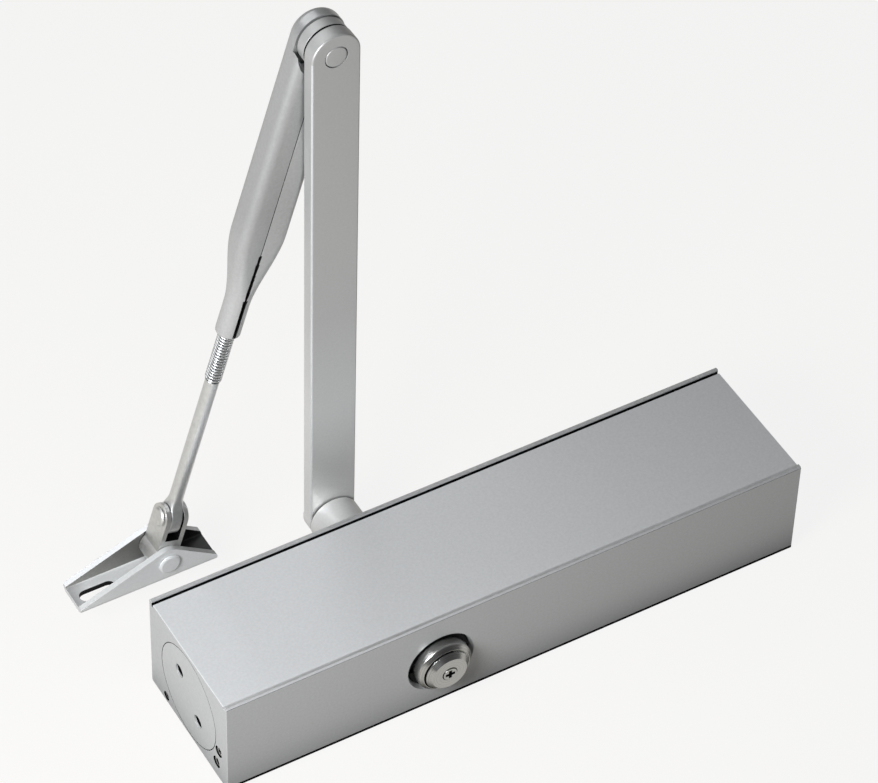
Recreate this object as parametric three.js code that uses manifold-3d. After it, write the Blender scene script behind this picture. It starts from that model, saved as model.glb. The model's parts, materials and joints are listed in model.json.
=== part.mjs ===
// Overhead door closer with its folding arm, in millimetres, +Z up.
// The origin is the centre of the face that is screwed to the door. X runs along the body,
// and the arm is on the +Y side. The arm stands straight out from the door, folded back to the shoe.
import * as THREE from "three";
import { mergeVertices } from "three/addons/utils/BufferGeometryUtils.js";
import Module from "manifold-3d";

const wasm = await Module();
wasm.setup();

// Clearance between pieces that seat on, run in or pass each other, and the overrun of a cut.
const CLEARANCE = 0.3;
const OVERRUN = 4;
const MERGE_DISTANCE = 0.0005;

// Body. Its section is the largest round seat in it, which the end plugs need, with walls round it.
const PLUG_DIAMETER = 42;
const PLUG_SHOULDER = 2;
const BACK_WALL = 0.7;
const TOP_WALL = 1.5;
const SIDE_WALL = 8.7;
const LIP_WIDTH = 1.8;
const LIP_HEIGHT = 1.2;
const GROOVE_WIDTH = 0.9;
const GROOVE_DEPTH = 1.2;
const BODY_LENGTH = 245;
const BODY_WIDTH = PLUG_DIAMETER + 2 * (CLEARANCE + SIDE_WALL);
const BORE_DIAMETER = PLUG_DIAMETER - 2 * PLUG_SHOULDER;
const BORE_AXIS_Z = PLUG_DIAMETER / 2 + CLEARANCE + BACK_WALL;
const BODY_HEIGHT = BORE_AXIS_Z + PLUG_DIAMETER / 2 + CLEARANCE + TOP_WALL + LIP_HEIGHT;
const BODY_EDGE = 0.6;
const FIXING_HOLE_DIAMETER = 4.6;
const FIXING_HOLE_DEPTH = 9;
const FIXING_HOLE_X = 85;
const FIXING_HOLE_INSET = 5.5;
const FIXING_HOLE_Y = BODY_WIDTH / 2 - FIXING_HOLE_INSET;

// End plugs.
const PLUG_THICKNESS = 13.6;
const PLUG_GROOVE_INSET = 9.5;
const SPANNER_HOLE_DIAMETER = 5.6;
const SPANNER_HOLE_DEPTH = 5;
const SPANNER_HOLE_RADIUS = 10;
const SPANNER_HOLE_DEGREES = 46;
const RING_WIDTH = 2.4;
const RING_DEPTH = 1.8;

// Small screws in the left end face, placed from the plug: the two valves on the near side, which
// run parallel to it, and the screw that locks it.
const VALVE_DIAMETER = 4.4;
const VALVE_LENGTH = 22;
const VALVE_TIP_LENGTH = 5;
const VALVE_TIP_DIAMETER = 1.2;
const VALVE_SOCKET_FLATS = 2.2;
const VALVE_SOCKET_DEPTH = 2.4;
const VALVE_HEAD_INSET = 0.5;
const VALVE_RING_WIDTH = 1.4;
const VALVE_RING_DEPTH = 0.7;
const SWEEP_VALVE_OUT = 2.2;
const SWEEP_VALVE_DROP = 6.8;
const SWEEP_VALVE_Y = -(PLUG_DIAMETER / 2 + SWEEP_VALVE_OUT);
const SWEEP_VALVE_Z = BORE_AXIS_Z - SWEEP_VALVE_DROP;
const LATCH_VALVE_OUT = 0.4;
const LATCH_VALVE_DROP = 14.6;
const LATCH_VALVE_Y = -(PLUG_DIAMETER / 2 + LATCH_VALVE_OUT);
const LATCH_VALVE_Z = BORE_AXIS_Z - LATCH_VALVE_DROP;
const LOCK_SCREW_DIAMETER = 3.4;
const LOCK_SCREW_LENGTH = 8;
const LOCK_SCREW_IN = 2.6;
const LOCK_SCREW_Y = PLUG_DIAMETER / 2 - LOCK_SCREW_IN;
const LOCK_SCREW_Z = 2.8;

// Spindle with its pinion, its bearings, seals and the caps that close the side bores.
const SPINDLE_X = -33.7;
const SHAFT_DIAMETER = 14;
const SQUARE_FLATS = 10;
const SQUARE_CORNER = 1.2;
const PINION_TEETH = 10;
const GEAR_MODULE = 1.6;
const PRESSURE_DEGREES = 20;
const PINION_WIDTH = 20;
const RACK_WIDTH = 18;
const PINION_ADDENDUM = 1.3;
const RACK_ADDENDUM = 0.9;
const TOOTH_CLEARANCE = 0.4;
const BACKLASH = 0.35;
const BEARING_DIAMETER = 20;
const BEARING_WIDTH = 5;
const SEAL_WIDTH = 1.8;
const SIDE_RECESS_DIAMETER = 26;
const BEARING_CAP_THICKNESS = 1.8;
const BEARING_CAP_BORE = 15.4;
const SPANNER_NOTCH_WIDTH = 3;
const SPANNER_NOTCH_DEPTH = 1.6;

// Cap and screw on the free end of the spindle.
const CAP_DIAMETER = 22.6;
const CAP_FACE_DIAMETER = 14.6;
const CAP_RIM_PROUD = 4;
const CAP_FACE_PROUD = 6.7;
const CAP_SOCKET_DEPTH = 5;
const CAP_SCREW_HEAD_DIAMETER = 5.6;
const CAP_SCREW_HEAD_HEIGHT = 1.6;
const CAP_SCREW_SHANK_DIAMETER = 3;
const CAP_SCREW_LENGTH = 10;
const CROSS_LENGTH = 4;
const CROSS_WIDTH = 1;
const CROSS_DEPTH = 1.1;

// Main arm, its collar and the screw that holds it.
const HUB_DIAMETER = 20;
const ARM_NEAR_Y = 52;
const ARM_THICKNESS = 6;
const ARM_WIDTH = 19;
const ARM_BOSS_WIDTH = 19.6;
const ARM_CENTRES = 232.1;
const ARM_EDGE = 1.1;
const ARM_SCREW_FLATS = 10;
const ARM_SCREW_HEAD_HEIGHT = 4;
const ARM_SCREW_SHANK_DIAMETER = 6;
const ARM_SCREW_LENGTH = 16;
const ARM_WASHER_DIAMETER = 16;
const ARM_WASHER_THICKNESS = 1.6;

// Knuckle between the arms.
const KNUCKLE_DISC_DIAMETER = 18.6;
const KNUCKLE_DISC_THICKNESS = 5;
const RIVET_SHANK_DIAMETER = 6;
const RIVET_HEAD_DIAMETER = 8.4;
const RIVET_HEAD_THICKNESS = 1.6;
const RIVET_TAIL_DIAMETER = 10;
const RIVET_TAIL_THICKNESS = 1.4;

// Forearm: a sheet tube with a butt seam, drawn down to a round neck.
const FOREARM_LEAN_DEGREES = 16.5;
const FOREARM_WIDTH = 19.4;
const FOREARM_DEPTH = 11.5;
const FOREARM_CORNER = 3.5;
const FOREARM_WALL = 2;
const FOREARM_STRAIGHT = 84;
const FOREARM_NECK_START = 118;
const FOREARM_LENGTH = 131.2;
const FOREARM_EYE_THICKNESS = 6.5;
const FOREARM_EYE_SOLID = 14;
const NECK_DIAMETER = 9.4;
const NECK_EDGE = 0.8;
const SEAM_WIDTH = 0.5;
const SEAM_NECK_WIDTH = 1.1;
const NOTCH_DIAMETER = 21.6;

// Adjusting rod.
const THREAD_DIAMETER = 6.4;
const THREAD_PITCH = 1.25;
const THREAD_DEPTH = 0.6;
const ROD_INNER_END = 92;
const THREAD_START = 110;
const THREAD_END = 153.5;
const ROD_DIAMETER = 5.4;
const FOREARM_PIN_CENTRES = 219.1;
const TONGUE_WIDTH = 10;
const TONGUE_THICKNESS = 5;
const TONGUE_REACH = 7.6;

// Swivel between the rod and the shoe.
const SWIVEL_CENTRES = 17.6;
const SWIVEL_WIDTH = 10.4;
const EAR_THICKNESS = 1.9;
const CROTCH_DISTANCE = 8.6;
const BARREL_DIAMETER = 12;
const UPPER_PIN_DIAMETER = 4.4;
const UPPER_PIN_HEAD_DIAMETER = 7.5;
const UPPER_PIN_HEAD_HEIGHT = 0.9;
const LOWER_PIN_DIAMETER = 5;
const LOWER_PIN_HEAD_DIAMETER = 8.7;
const LOWER_PIN_HEAD_HEIGHT = 0.9;

// Shoe.
const SHOE_SHEET = 2.3;
const SHOE_INNER_BEND = 0.6;
const SHOE_PIN_HEIGHT = 9.55;
const SHOE_LEFT_REACH = 36.8;
const SHOE_RIGHT_REACH = 20.2;
const SHOE_LEFT_TIP = 3;
const SHOE_RIGHT_TIP = 4.6;
const SHOE_NOSE_RADIUS = 2;
const SHOE_APEX_RADIUS = 7;
const SHOE_APEX_OFFSET = -0.4;
const SHOE_SLOT_WIDTH = 5.4;
const SHOE_SLOT_LENGTH = 14.8;
const SHOE_SLOT_INSET = 2.4;
const SHOE_SLOT_Y = -1.4;

// Piston, its seal, its check valve and the closing spring.
const PISTON_LEFT_LAND = 16.3;
const PISTON_RIGHT_LAND = 14;
const SWING_DEGREES = 180;
const PISTON_SEAL_INSET = 3.5;
const PISTON_RING_WIDTH = 2.4;
const PISTON_RING_DEPTH = 2.5;
const SPIGOT_ROOM = 0.75;
const SPIGOT_LENGTH = 6;
const CHECK_BALL_DIAMETER = 5;
const CHECK_BORE_DIAMETER = 8;
const CHECK_BORE_DEPTH = 10;
const CHECK_PORT_DIAMETER = 3;
const CHECK_BALL_LIFT = 1.2;
const RETAINER_THICKNESS = 2;
const SPRING_WIRE = 5.5;
const SPRING_ROOM = 2;
const SPRING_DIAMETER = BORE_DIAMETER - 2 * SPRING_ROOM;
const SPIGOT_DIAMETER = SPRING_DIAMETER - 2 * (SPRING_WIRE + SPIGOT_ROOM);
const SPRING_TURNS = 10;
const SPRING_CLOSED_GAP = 0.6;

// Number of flats on round pieces and of steps along the spring.
const FINE_SIDES = 36;
const SIDES = 28;
const SMALL_SIDES = 16;
const BEND_STEPS = 4;
const BEVEL_STEPS = 2;
const WIRE_SIDES = 6;
const STEPS_PER_TURN = 12;
const INVOLUTE_STEPS = 4;
const CORNER_STEPS = 4;
const TAPER_STEPS = 9;

// Places that follow from the sizes above.
const bodyEnd = BODY_LENGTH / 2;
const bodySide = BODY_WIDTH / 2;
const boreRadius = BORE_DIAMETER / 2;
const plugSeatDepth = PLUG_THICKNESS + CLEARANCE;
const pitchRadius = (PINION_TEETH * GEAR_MODULE) / 2;
const toothPitch = Math.PI * GEAR_MODULE;
const travel = pitchRadius * THREE.MathUtils.degToRad(SWING_DEGREES);
const arm = { nearY: ARM_NEAR_Y, farY: ARM_NEAR_Y + ARM_THICKNESS };
const lean = THREE.MathUtils.degToRad(FOREARM_LEAN_DEGREES);
const knuckle = new THREE.Vector3(SPINDLE_X, 0, BORE_AXIS_Z + ARM_CENTRES);
const discNearY = arm.farY + CLEARANCE;
const discFarY = discNearY + KNUCKLE_DISC_THICKNESS;
const forearmNearY = arm.farY + 2 * CLEARANCE;
const forearmFarY = forearmNearY + FOREARM_DEPTH;
const forearmY = (forearmNearY + forearmFarY) / 2;
const forearmEyeY = forearmFarY - FOREARM_EYE_THICKNESS;
const lowerPinDistance = FOREARM_PIN_CENTRES + SWIVEL_CENTRES;
const lowerPin = alongForearm(lowerPinDistance);
const swivelHalf = TONGUE_THICKNESS / 2 + CLEARANCE + EAR_THICKNESS;
const shoeInside = SWIVEL_WIDTH / 2 + CLEARANCE;
const shoeOutside = shoeInside + SHOE_SHEET;

// The point of the forearm's centre line at a distance from the knuckle.
function alongForearm(distance) {
  const x = knuckle.x - distance * Math.sin(lean);
  const z = knuckle.z - distance * Math.cos(lean);
  return new THREE.Vector3(x, forearmY, z);
}

// A closed geometry as a manifold solid, which can be joined and cut.
function toSolid(geometry) {
  const bare = geometry.index ? geometry.toNonIndexed() : geometry.clone();
  bare.deleteAttribute("normal");
  bare.deleteAttribute("uv");
  const merged = mergeVertices(bare, MERGE_DISTANCE);
  const vertProperties = merged.attributes.position.array;
  const triVerts = new Uint32Array(merged.index.array);
  return new wasm.Manifold(new wasm.Mesh({ numProp: 3, vertProperties, triVerts }));
}

function toGeometry(solid) {
  const mesh = solid.getMesh();
  const geometry = new THREE.BufferGeometry();
  geometry.setAttribute("position", new THREE.BufferAttribute(mesh.vertProperties, 3));
  geometry.setIndex(new THREE.BufferAttribute(mesh.triVerts, 1));
  const faceted = geometry.toNonIndexed();
  faceted.computeVertexNormals();
  return faceted;
}

// A first geometry with others cut out of it.
function cut(first, ...others) {
  let solid = toSolid(first);
  for (const other of others) {
    solid = solid.subtract(toSolid(other));
  }
  return toGeometry(solid);
}

function shared(first, second) {
  return toGeometry(toSolid(first).intersect(toSolid(second)));
}

function join(first, ...others) {
  let solid = toSolid(first);
  for (const other of others) {
    solid = solid.add(toSolid(other));
  }
  return toGeometry(solid);
}

// Turns a geometry made round or along Y to lie along another axis.
function aim(geometry, axis) {
  if (axis === "x") {
    geometry.rotateZ(-Math.PI / 2);
  }
  if (axis === "z") {
    geometry.rotateX(Math.PI / 2);
  }
  return geometry;
}

// A round bar along an axis through the origin, from one station to the next.
function bar(axis, diameter, from, to, sides = SIDES) {
  const geometry = new THREE.CylinderGeometry(diameter / 2, diameter / 2, to - from, sides);
  geometry.translate(0, (from + to) / 2, 0);
  return aim(geometry, axis);
}

// A turned piece: the profile holds [diameter, station] pairs, and starts and ends on the axis
// or closes on itself.
function turned(axis, profile, sides = SIDES) {
  const points = profile.map(([diameter, station]) => new THREE.Vector2(diameter / 2, station));
  return aim(new THREE.LatheGeometry(points, sides), axis);
}

// A plain ring along an axis.
function ring(axis, outer, inner, from, to, sides = SIDES) {
  const profile = [
    [outer, from],
    [outer, to],
    [inner, to],
    [inner, from],
    [outer, from],
  ];
  return turned(axis, profile, sides);
}

// A box between two corners.
function block(low, high) {
  const [dx, dy, dz] = high.map((value, i) => value - low[i]);
  const [cx, cy, cz] = high.map((value, i) => (value + low[i]) / 2);
  return new THREE.BoxGeometry(dx, dy, dz).translate(cx, cy, cz);
}

// An outline in X and Z made into a plate between two stations in Y.
function plateAlongY(shape, fromY, toY, edge = 0) {
  const settings = {
    depth: toY - fromY - 2 * edge,
    bevelEnabled: edge > 0,
    bevelThickness: edge,
    bevelSize: edge,
    bevelOffset: -edge,
    bevelSegments: BEVEL_STEPS,
    curveSegments: SMALL_SIDES / 2,
  };
  const geometry = new THREE.ExtrudeGeometry(shape, settings);
  geometry.rotateX(Math.PI / 2);
  return geometry.translate(0, toY - edge, 0);
}

// An outline in Y and Z made into a bar between two stations in X.
function barAlongX(shape, fromX, toX, curveSegments = SMALL_SIDES / 2) {
  const settings = { depth: toX - fromX, bevelEnabled: false, curveSegments };
  const geometry = new THREE.ExtrudeGeometry(shape, settings);
  const turn = new THREE.Matrix4().makeBasis(
    new THREE.Vector3(0, 1, 0),
    new THREE.Vector3(0, 0, 1),
    new THREE.Vector3(1, 0, 0),
  );
  return geometry.applyMatrix4(turn).translate(fromX, 0, 0);
}

function outline(points) {
  return new THREE.Shape(points.map(([u, v]) => new THREE.Vector2(u, v)));
}

// A square with cut corners, as on the ends of the spindle.
function squareOutline(flats, corner) {
  const h = flats / 2;
  const k = h - corner;
  return outline([
    [-k, -h], [k, -h], [h, -k], [h, k], [k, h], [-k, h], [-h, k], [-h, -k],
  ]);
}

function hexagonOutline(flats) {
  const points = [];
  for (let i = 0; i < 6; i += 1) {
    const angle = (i * Math.PI) / 3;
    const radius = flats / Math.sqrt(3);
    points.push([radius * Math.cos(angle), radius * Math.sin(angle)]);
  }
  return outline(points);
}

// A loft through rings of points that all have the same count, from the lowest up, with flat ends.
function loft(rings) {
  const count = rings[0].length;
  const positions = rings.flat().flatMap((p) => [p.x, p.y, p.z]);
  const index = [];
  for (let r = 0; r + 1 < rings.length; r += 1) {
    for (let i = 0; i < count; i += 1) {
      const a = r * count + i;
      const b = r * count + ((i + 1) % count);
      index.push(a, b, a + count, b, b + count, a + count);
    }
  }
  const last = (rings.length - 1) * count;
  for (let i = 1; i + 1 < count; i += 1) {
    index.push(0, i + 1, i, last, last + i, last + i + 1);
  }
  const geometry = new THREE.BufferGeometry();
  geometry.setAttribute("position", new THREE.Float32BufferAttribute(positions, 3));
  return geometry.setIndex(index);
}

// A ring of points round a rectangle with round corners, in X and Y, at a height z.
function roundedRing(width, depth, corner, z) {
  const points = [];
  const radius = Math.min(corner, width / 2, depth / 2);
  const signs = [[1, 1], [-1, 1], [-1, -1], [1, -1]];
  signs.forEach(([sx, sy], quarter) => {
    const cx = sx * (width / 2 - radius);
    const cy = sy * (depth / 2 - radius);
    for (let i = 0; i <= CORNER_STEPS; i += 1) {
      const angle = ((quarter + i / CORNER_STEPS) * Math.PI) / 2;
      points.push(new THREE.Vector3(cx + radius * Math.cos(angle), cy + radius * Math.sin(angle), z));
    }
  });
  return points;
}

const paint = { color: 0xc3c6c7, roughness: 0.42, metalness: 0.7 };
const zincPlate = { color: 0xc9ccce, roughness: 0.35, metalness: 0.9 };
const brightSteel = { color: 0xb0b1b0, roughness: 0.22, metalness: 1 };
const hardenedSteel = { color: 0x8f9193, roughness: 0.4, metalness: 1 };
const springSteel = { color: 0x5f6367, roughness: 0.45, metalness: 1 };
const nitrile = { color: 0x1c1c1d, roughness: 0.7, metalness: 0 };

function piece(name, geometry, finish) {
  const mesh = new THREE.Mesh(geometry, new THREE.MeshStandardMaterial(finish));
  mesh.name = name;
  return mesh;
}

const closer = new THREE.Group();

// A group at a place, turned about Y, whose own axes its pieces are drawn in.
function frame(parent, place, turnY = 0) {
  const group = new THREE.Group();
  group.position.copy(place);
  group.rotation.y = turnY;
  parent.add(group);
  return group;
}

const boreFrame = frame(closer, new THREE.Vector3(0, 0, BORE_AXIS_Z));
const spindleFrame = frame(closer, new THREE.Vector3(SPINDLE_X, 0, BORE_AXIS_Z));
const knuckleFrame = frame(closer, knuckle);
const forearmFrame = frame(closer, new THREE.Vector3(knuckle.x, forearmY, knuckle.z), lean);
const upperPinFrame = frame(closer, alongForearm(FOREARM_PIN_CENTRES), lean);
const shoeFrame = frame(closer, lowerPin);

// Side bores: from outside in, a recess for the bearing cap, then the seal's and bearing's seat.
const bearingInnerY = boreRadius + CLEARANCE;
const bearingOuterY = bearingInnerY + BEARING_WIDTH;
const sealInnerY = bearingOuterY + CLEARANCE;
const sealOuterY = sealInnerY + SEAL_WIDTH;
const recessFloorY = sealOuterY;
const bearingCapInnerY = recessFloorY + CLEARANCE;
const bearingCapOuterY = bearingCapInnerY + BEARING_CAP_THICKNESS;
const bearingSeatDiameter = BEARING_DIAMETER + 2 * CLEARANCE;

const valves = [
  { name: "sweep_valve", y: SWEEP_VALVE_Y, z: SWEEP_VALVE_Z },
  { name: "latch_valve", y: LATCH_VALVE_Y, z: LATCH_VALVE_Z },
];
const valveHeadX = -bodyEnd + VALVE_HEAD_INSET;
const lockHeadX = -bodyEnd + VALVE_HEAD_INSET;

function housing() {
  const s = bodySide;
  const top = BODY_HEIGHT;
  const floor = BODY_HEIGHT - LIP_HEIGHT;
  const lip = bodySide - LIP_WIDTH;
  const groove = lip - GROOVE_WIDTH;
  const deep = floor - GROOVE_DEPTH;
  const e = BODY_EDGE;
  const section = outline([
    [-s + e, 0], [s - e, 0], [s, e], [s, top - e], [s - e, top], [lip, top],
    [lip, deep], [groove, deep], [groove, floor], [-groove, floor], [-groove, deep], [-lip, deep],
    [-lip, top], [-s + e, top], [-s, top - e], [-s, e],
  ]);
  const cuts = [];
  const far = bodyEnd + OVERRUN;
  cuts.push(bar("x", BORE_DIAMETER, -far, far, FINE_SIDES).translate(0, 0, BORE_AXIS_Z));
  for (const side of [-1, 1]) {
    const ends = [side * (bodyEnd - plugSeatDepth), side * far].sort((a, b) => a - b);
    const seat = bar("x", PLUG_DIAMETER + 2 * CLEARANCE, ...ends, FINE_SIDES);
    cuts.push(seat.translate(0, 0, BORE_AXIS_Z));
    const outer = bodySide + OVERRUN;
    const seatEnds = [0, side * outer].sort((a, b) => a - b);
    const bearing = bar("y", bearingSeatDiameter, ...seatEnds, SIDES);
    cuts.push(bearing.translate(SPINDLE_X, 0, BORE_AXIS_Z));
    const recessEnds = [side * recessFloorY, side * outer].sort((a, b) => a - b);
    const recess = bar("y", SIDE_RECESS_DIAMETER, ...recessEnds, SIDES);
    cuts.push(recess.translate(SPINDLE_X, 0, BORE_AXIS_Z));
    for (const end of [-1, 1]) {
      const hole = bar("z", FIXING_HOLE_DIAMETER, -OVERRUN, FIXING_HOLE_DEPTH, SMALL_SIDES);
      cuts.push(hole.translate(end * FIXING_HOLE_X, side * FIXING_HOLE_Y, 0));
    }
  }
  const bottom = valveHeadX + VALVE_LENGTH + CLEARANCE;
  for (const valve of valves) {
    const hole = bar("x", VALVE_DIAMETER + 2 * CLEARANCE, -far, bottom, SMALL_SIDES);
    cuts.push(hole.translate(0, valve.y, valve.z));
  }
  const lockBottom = lockHeadX + LOCK_SCREW_LENGTH + CLEARANCE;
  const lockHole = bar("x", LOCK_SCREW_DIAMETER + 2 * CLEARANCE, -far, lockBottom, SMALL_SIDES);
  cuts.push(lockHole.translate(0, LOCK_SCREW_Y, LOCK_SCREW_Z));
  return cut(barAlongX(section, -bodyEnd, bodyEnd), ...cuts);
}

// A plug with its outer face at the end of the body, a ring groove and two spanner holes.
function endPlug(side) {
  const outer = side * bodyEnd;
  const inner = side * (bodyEnd - PLUG_THICKNESS);
  const body = bar("x", PLUG_DIAMETER, Math.min(inner, outer), Math.max(inner, outer), FINE_SIDES);
  const groove = plugRing(side, CLEARANCE, OVERRUN);
  const cuts = [groove];
  const spots = THREE.MathUtils.degToRad(SPANNER_HOLE_DEGREES);
  const depths = [side * (bodyEnd - SPANNER_HOLE_DEPTH), side * (bodyEnd + OVERRUN)];
  depths.sort((a, b) => a - b);
  for (const turn of [0, Math.PI]) {
    const y = SPANNER_HOLE_RADIUS * Math.cos(spots + turn);
    const z = SPANNER_HOLE_RADIUS * Math.sin(spots + turn);
    cuts.push(bar("x", SPANNER_HOLE_DIAMETER, ...depths).translate(0, y, z));
  }
  return cut(body, ...cuts);
}

// The sealing ring of a plug, or with room added on every side, the groove that it lies in.
function plugRing(side, room = 0, outside = 0) {
  const middle = side * (bodyEnd - PLUG_GROOVE_INSET);
  const half = RING_WIDTH / 2 + room;
  const inner = PLUG_DIAMETER - 2 * RING_DEPTH - 2 * room;
  const outer = PLUG_DIAMETER + 2 * outside;
  return ring("x", outer, inner, middle - half, middle + half, FINE_SIDES);
}

boreFrame.add(piece("end_plug_left", endPlug(-1), paint));
boreFrame.add(piece("end_plug_right", endPlug(1), paint));
boreFrame.add(piece("plug_oring_left", plugRing(-1), nitrile));
boreFrame.add(piece("plug_oring_right", plugRing(1), nitrile));
closer.add(piece("housing", housing(), paint));

// A valve screw: a plain body with a hexagon socket, a ring groove and a slim metering tip.
function valveScrew() {
  const tipEnd = VALVE_LENGTH;
  const tipStart = VALVE_LENGTH - VALVE_TIP_LENGTH;
  const profile = [
    [0, 0], [VALVE_DIAMETER, 0], [VALVE_DIAMETER, tipStart], [VALVE_TIP_DIAMETER, tipEnd], [0, tipEnd],
  ];
  const body = turned("x", profile, SMALL_SIDES);
  const socket = barAlongX(hexagonOutline(VALVE_SOCKET_FLATS), -OVERRUN, VALVE_SOCKET_DEPTH);
  return cut(body, socket, valveRing(CLEARANCE / 2, OVERRUN));
}

function valveRing(room = 0, outside = 0) {
  const middle = VALVE_LENGTH / 2;
  const half = VALVE_RING_WIDTH / 2 + room;
  const inner = VALVE_DIAMETER - 2 * VALVE_RING_DEPTH - 2 * room;
  return ring("x", VALVE_DIAMETER + 2 * outside, inner, middle - half, middle + half, SMALL_SIDES);
}

for (const valve of valves) {
  const place = frame(closer, new THREE.Vector3(valveHeadX, valve.y, valve.z));
  place.add(piece(`${valve.name}_screw`, valveScrew(), zincPlate));
  place.add(piece(`${valve.name}_oring`, valveRing(), nitrile));
}

function lockScrew() {
  const body = bar("x", LOCK_SCREW_DIAMETER, 0, LOCK_SCREW_LENGTH, SMALL_SIDES);
  return cut(body, barAlongX(hexagonOutline(VALVE_SOCKET_FLATS), -OVERRUN, VALVE_SOCKET_DEPTH));
}
const lockFrame = frame(closer, new THREE.Vector3(lockHeadX, LOCK_SCREW_Y, LOCK_SCREW_Z));
lockFrame.add(piece("plug_locking_screw", lockScrew(), zincPlate));

// Bearings, seals and bearing caps sit in the side bores, the same on both sides.
for (const [name, side] of [["near", -1], ["far", 1]]) {
  const between = (a, b) => [side * a, side * b].sort((u, v) => u - v);
  const shaftHole = SHAFT_DIAMETER + 2 * CLEARANCE;
  const bearing = ring("y", BEARING_DIAMETER, shaftHole, ...between(bearingInnerY, bearingOuterY));
  const seal = ring("y", BEARING_DIAMETER, shaftHole, ...between(sealInnerY, sealOuterY));
  const capEnds = between(bearingCapInnerY, bearingCapOuterY);
  const capOuter = SIDE_RECESS_DIAMETER - 2 * CLEARANCE;
  const cap = ring("y", capOuter, BEARING_CAP_BORE, ...capEnds);
  const notches = [];
  for (const way of [-1, 1]) {
    const rim = way * (capOuter / 2 - SPANNER_NOTCH_DEPTH);
    const outside = way * (capOuter / 2 + OVERRUN);
    const low = [Math.min(rim, outside), capEnds[0] - OVERRUN, -SPANNER_NOTCH_WIDTH / 2];
    const high = [Math.max(rim, outside), capEnds[1] + OVERRUN, SPANNER_NOTCH_WIDTH / 2];
    notches.push(block(low, high));
  }
  spindleFrame.add(piece(`bearing_${name}`, bearing, hardenedSteel));
  spindleFrame.add(piece(`shaft_seal_${name}`, seal, nitrile));
  spindleFrame.add(piece(`bearing_cap_${name}`, cut(cap, ...notches), hardenedSteel));
}

// One tooth space to the next of an involute pinion, as points in X and Z round the shaft.
function pinionOutline() {
  const pressure = THREE.MathUtils.degToRad(PRESSURE_DEGREES);
  const base = pitchRadius * Math.cos(pressure);
  const tip = pitchRadius + PINION_ADDENDUM;
  const root = pitchRadius - RACK_ADDENDUM - TOOTH_CLEARANCE;
  const involute = (angle) => Math.tan(angle) - angle;
  const thickness = toothPitch / 2 - BACKLASH;
  const halfAtBase = thickness / (2 * pitchRadius) + involute(pressure);
  const flank = [[root, halfAtBase]];
  for (let i = 0; i <= INVOLUTE_STEPS; i += 1) {
    const radius = base + ((tip - base) * i) / INVOLUTE_STEPS;
    flank.push([radius, halfAtBase - involute(Math.acos(base / radius))]);
  }
  const points = [];
  for (let tooth = 0; tooth < PINION_TEETH; tooth += 1) {
    const middle = Math.PI / 2 + (tooth * 2 * Math.PI) / PINION_TEETH;
    for (const [radius, half] of flank) {
      points.push([radius * Math.cos(middle - half), radius * Math.sin(middle - half)]);
    }
    for (const [radius, half] of [...flank].reverse()) {
      points.push([radius * Math.cos(middle + half), radius * Math.sin(middle + half)]);
    }
  }
  return outline(points);
}

const hubNearY = bodySide + 2 * CLEARANCE;
const hubFarY = arm.nearY - CLEARANCE;
const nearSquareEnd = bearingCapOuterY + CAP_SOCKET_DEPTH - CLEARANCE;
const farSquareEnd = arm.farY - CLEARANCE;
const capInnerY = -(bearingCapOuterY + CLEARANCE);
const capRimY = -(bodySide + CAP_RIM_PROUD);
const capFaceY = -(bodySide + CAP_FACE_PROUD);

function pinionShaft() {
  const shaftNear = -(bearingCapOuterY - CLEARANCE);
  const shaftFar = hubNearY - CLEARANCE;
  const shaft = bar("y", SHAFT_DIAMETER, shaftNear, shaftFar);
  const gear = plateAlongY(pinionOutline(), -PINION_WIDTH / 2, PINION_WIDTH / 2);
  const square = squareOutline(SQUARE_FLATS, SQUARE_CORNER);
  const ends = plateAlongY(square, -nearSquareEnd, farSquareEnd);
  const capThread = CAP_SCREW_SHANK_DIAMETER + 2 * CLEARANCE;
  const armThread = ARM_SCREW_SHANK_DIAMETER + 2 * CLEARANCE;
  const capHoleEnd = capFaceY + CAP_SCREW_LENGTH + CAP_SCREW_HEAD_HEIGHT + 2 * CLEARANCE;
  const armHoleEnd = armScrewSeatY - ARM_SCREW_LENGTH - CLEARANCE;
  const capHole = bar("y", capThread, -nearSquareEnd - OVERRUN, capHoleEnd, SMALL_SIDES);
  const armHole = bar("y", armThread, armHoleEnd, farSquareEnd + OVERRUN, SMALL_SIDES);
  return cut(join(shaft, gear, ends), capHole, armHole);
}

// The cap has a square socket for the spindle, and its screw's head sinks into its face.
function spindleCap() {
  const profile = [
    [0, capFaceY], [CAP_FACE_DIAMETER, capFaceY], [CAP_DIAMETER, capRimY],
    [CAP_DIAMETER, capInnerY], [0, capInnerY],
  ];
  const body = turned("y", profile, FINE_SIDES);
  const square = squareOutline(SQUARE_FLATS + 2 * CLEARANCE, SQUARE_CORNER);
  const socket = plateAlongY(square, -nearSquareEnd - CLEARANCE, capInnerY + OVERRUN);
  const headSeat = capFaceY + CAP_SCREW_HEAD_HEIGHT;
  const headHole = bar("y", CAP_SCREW_HEAD_DIAMETER + 2 * CLEARANCE, capFaceY - OVERRUN, headSeat);
  const shankDiameter = CAP_SCREW_SHANK_DIAMETER + 2 * CLEARANCE;
  const shankHole = bar("y", shankDiameter, capFaceY - OVERRUN, capInnerY, SMALL_SIDES);
  return cut(body, socket, headHole, shankHole);
}

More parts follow.
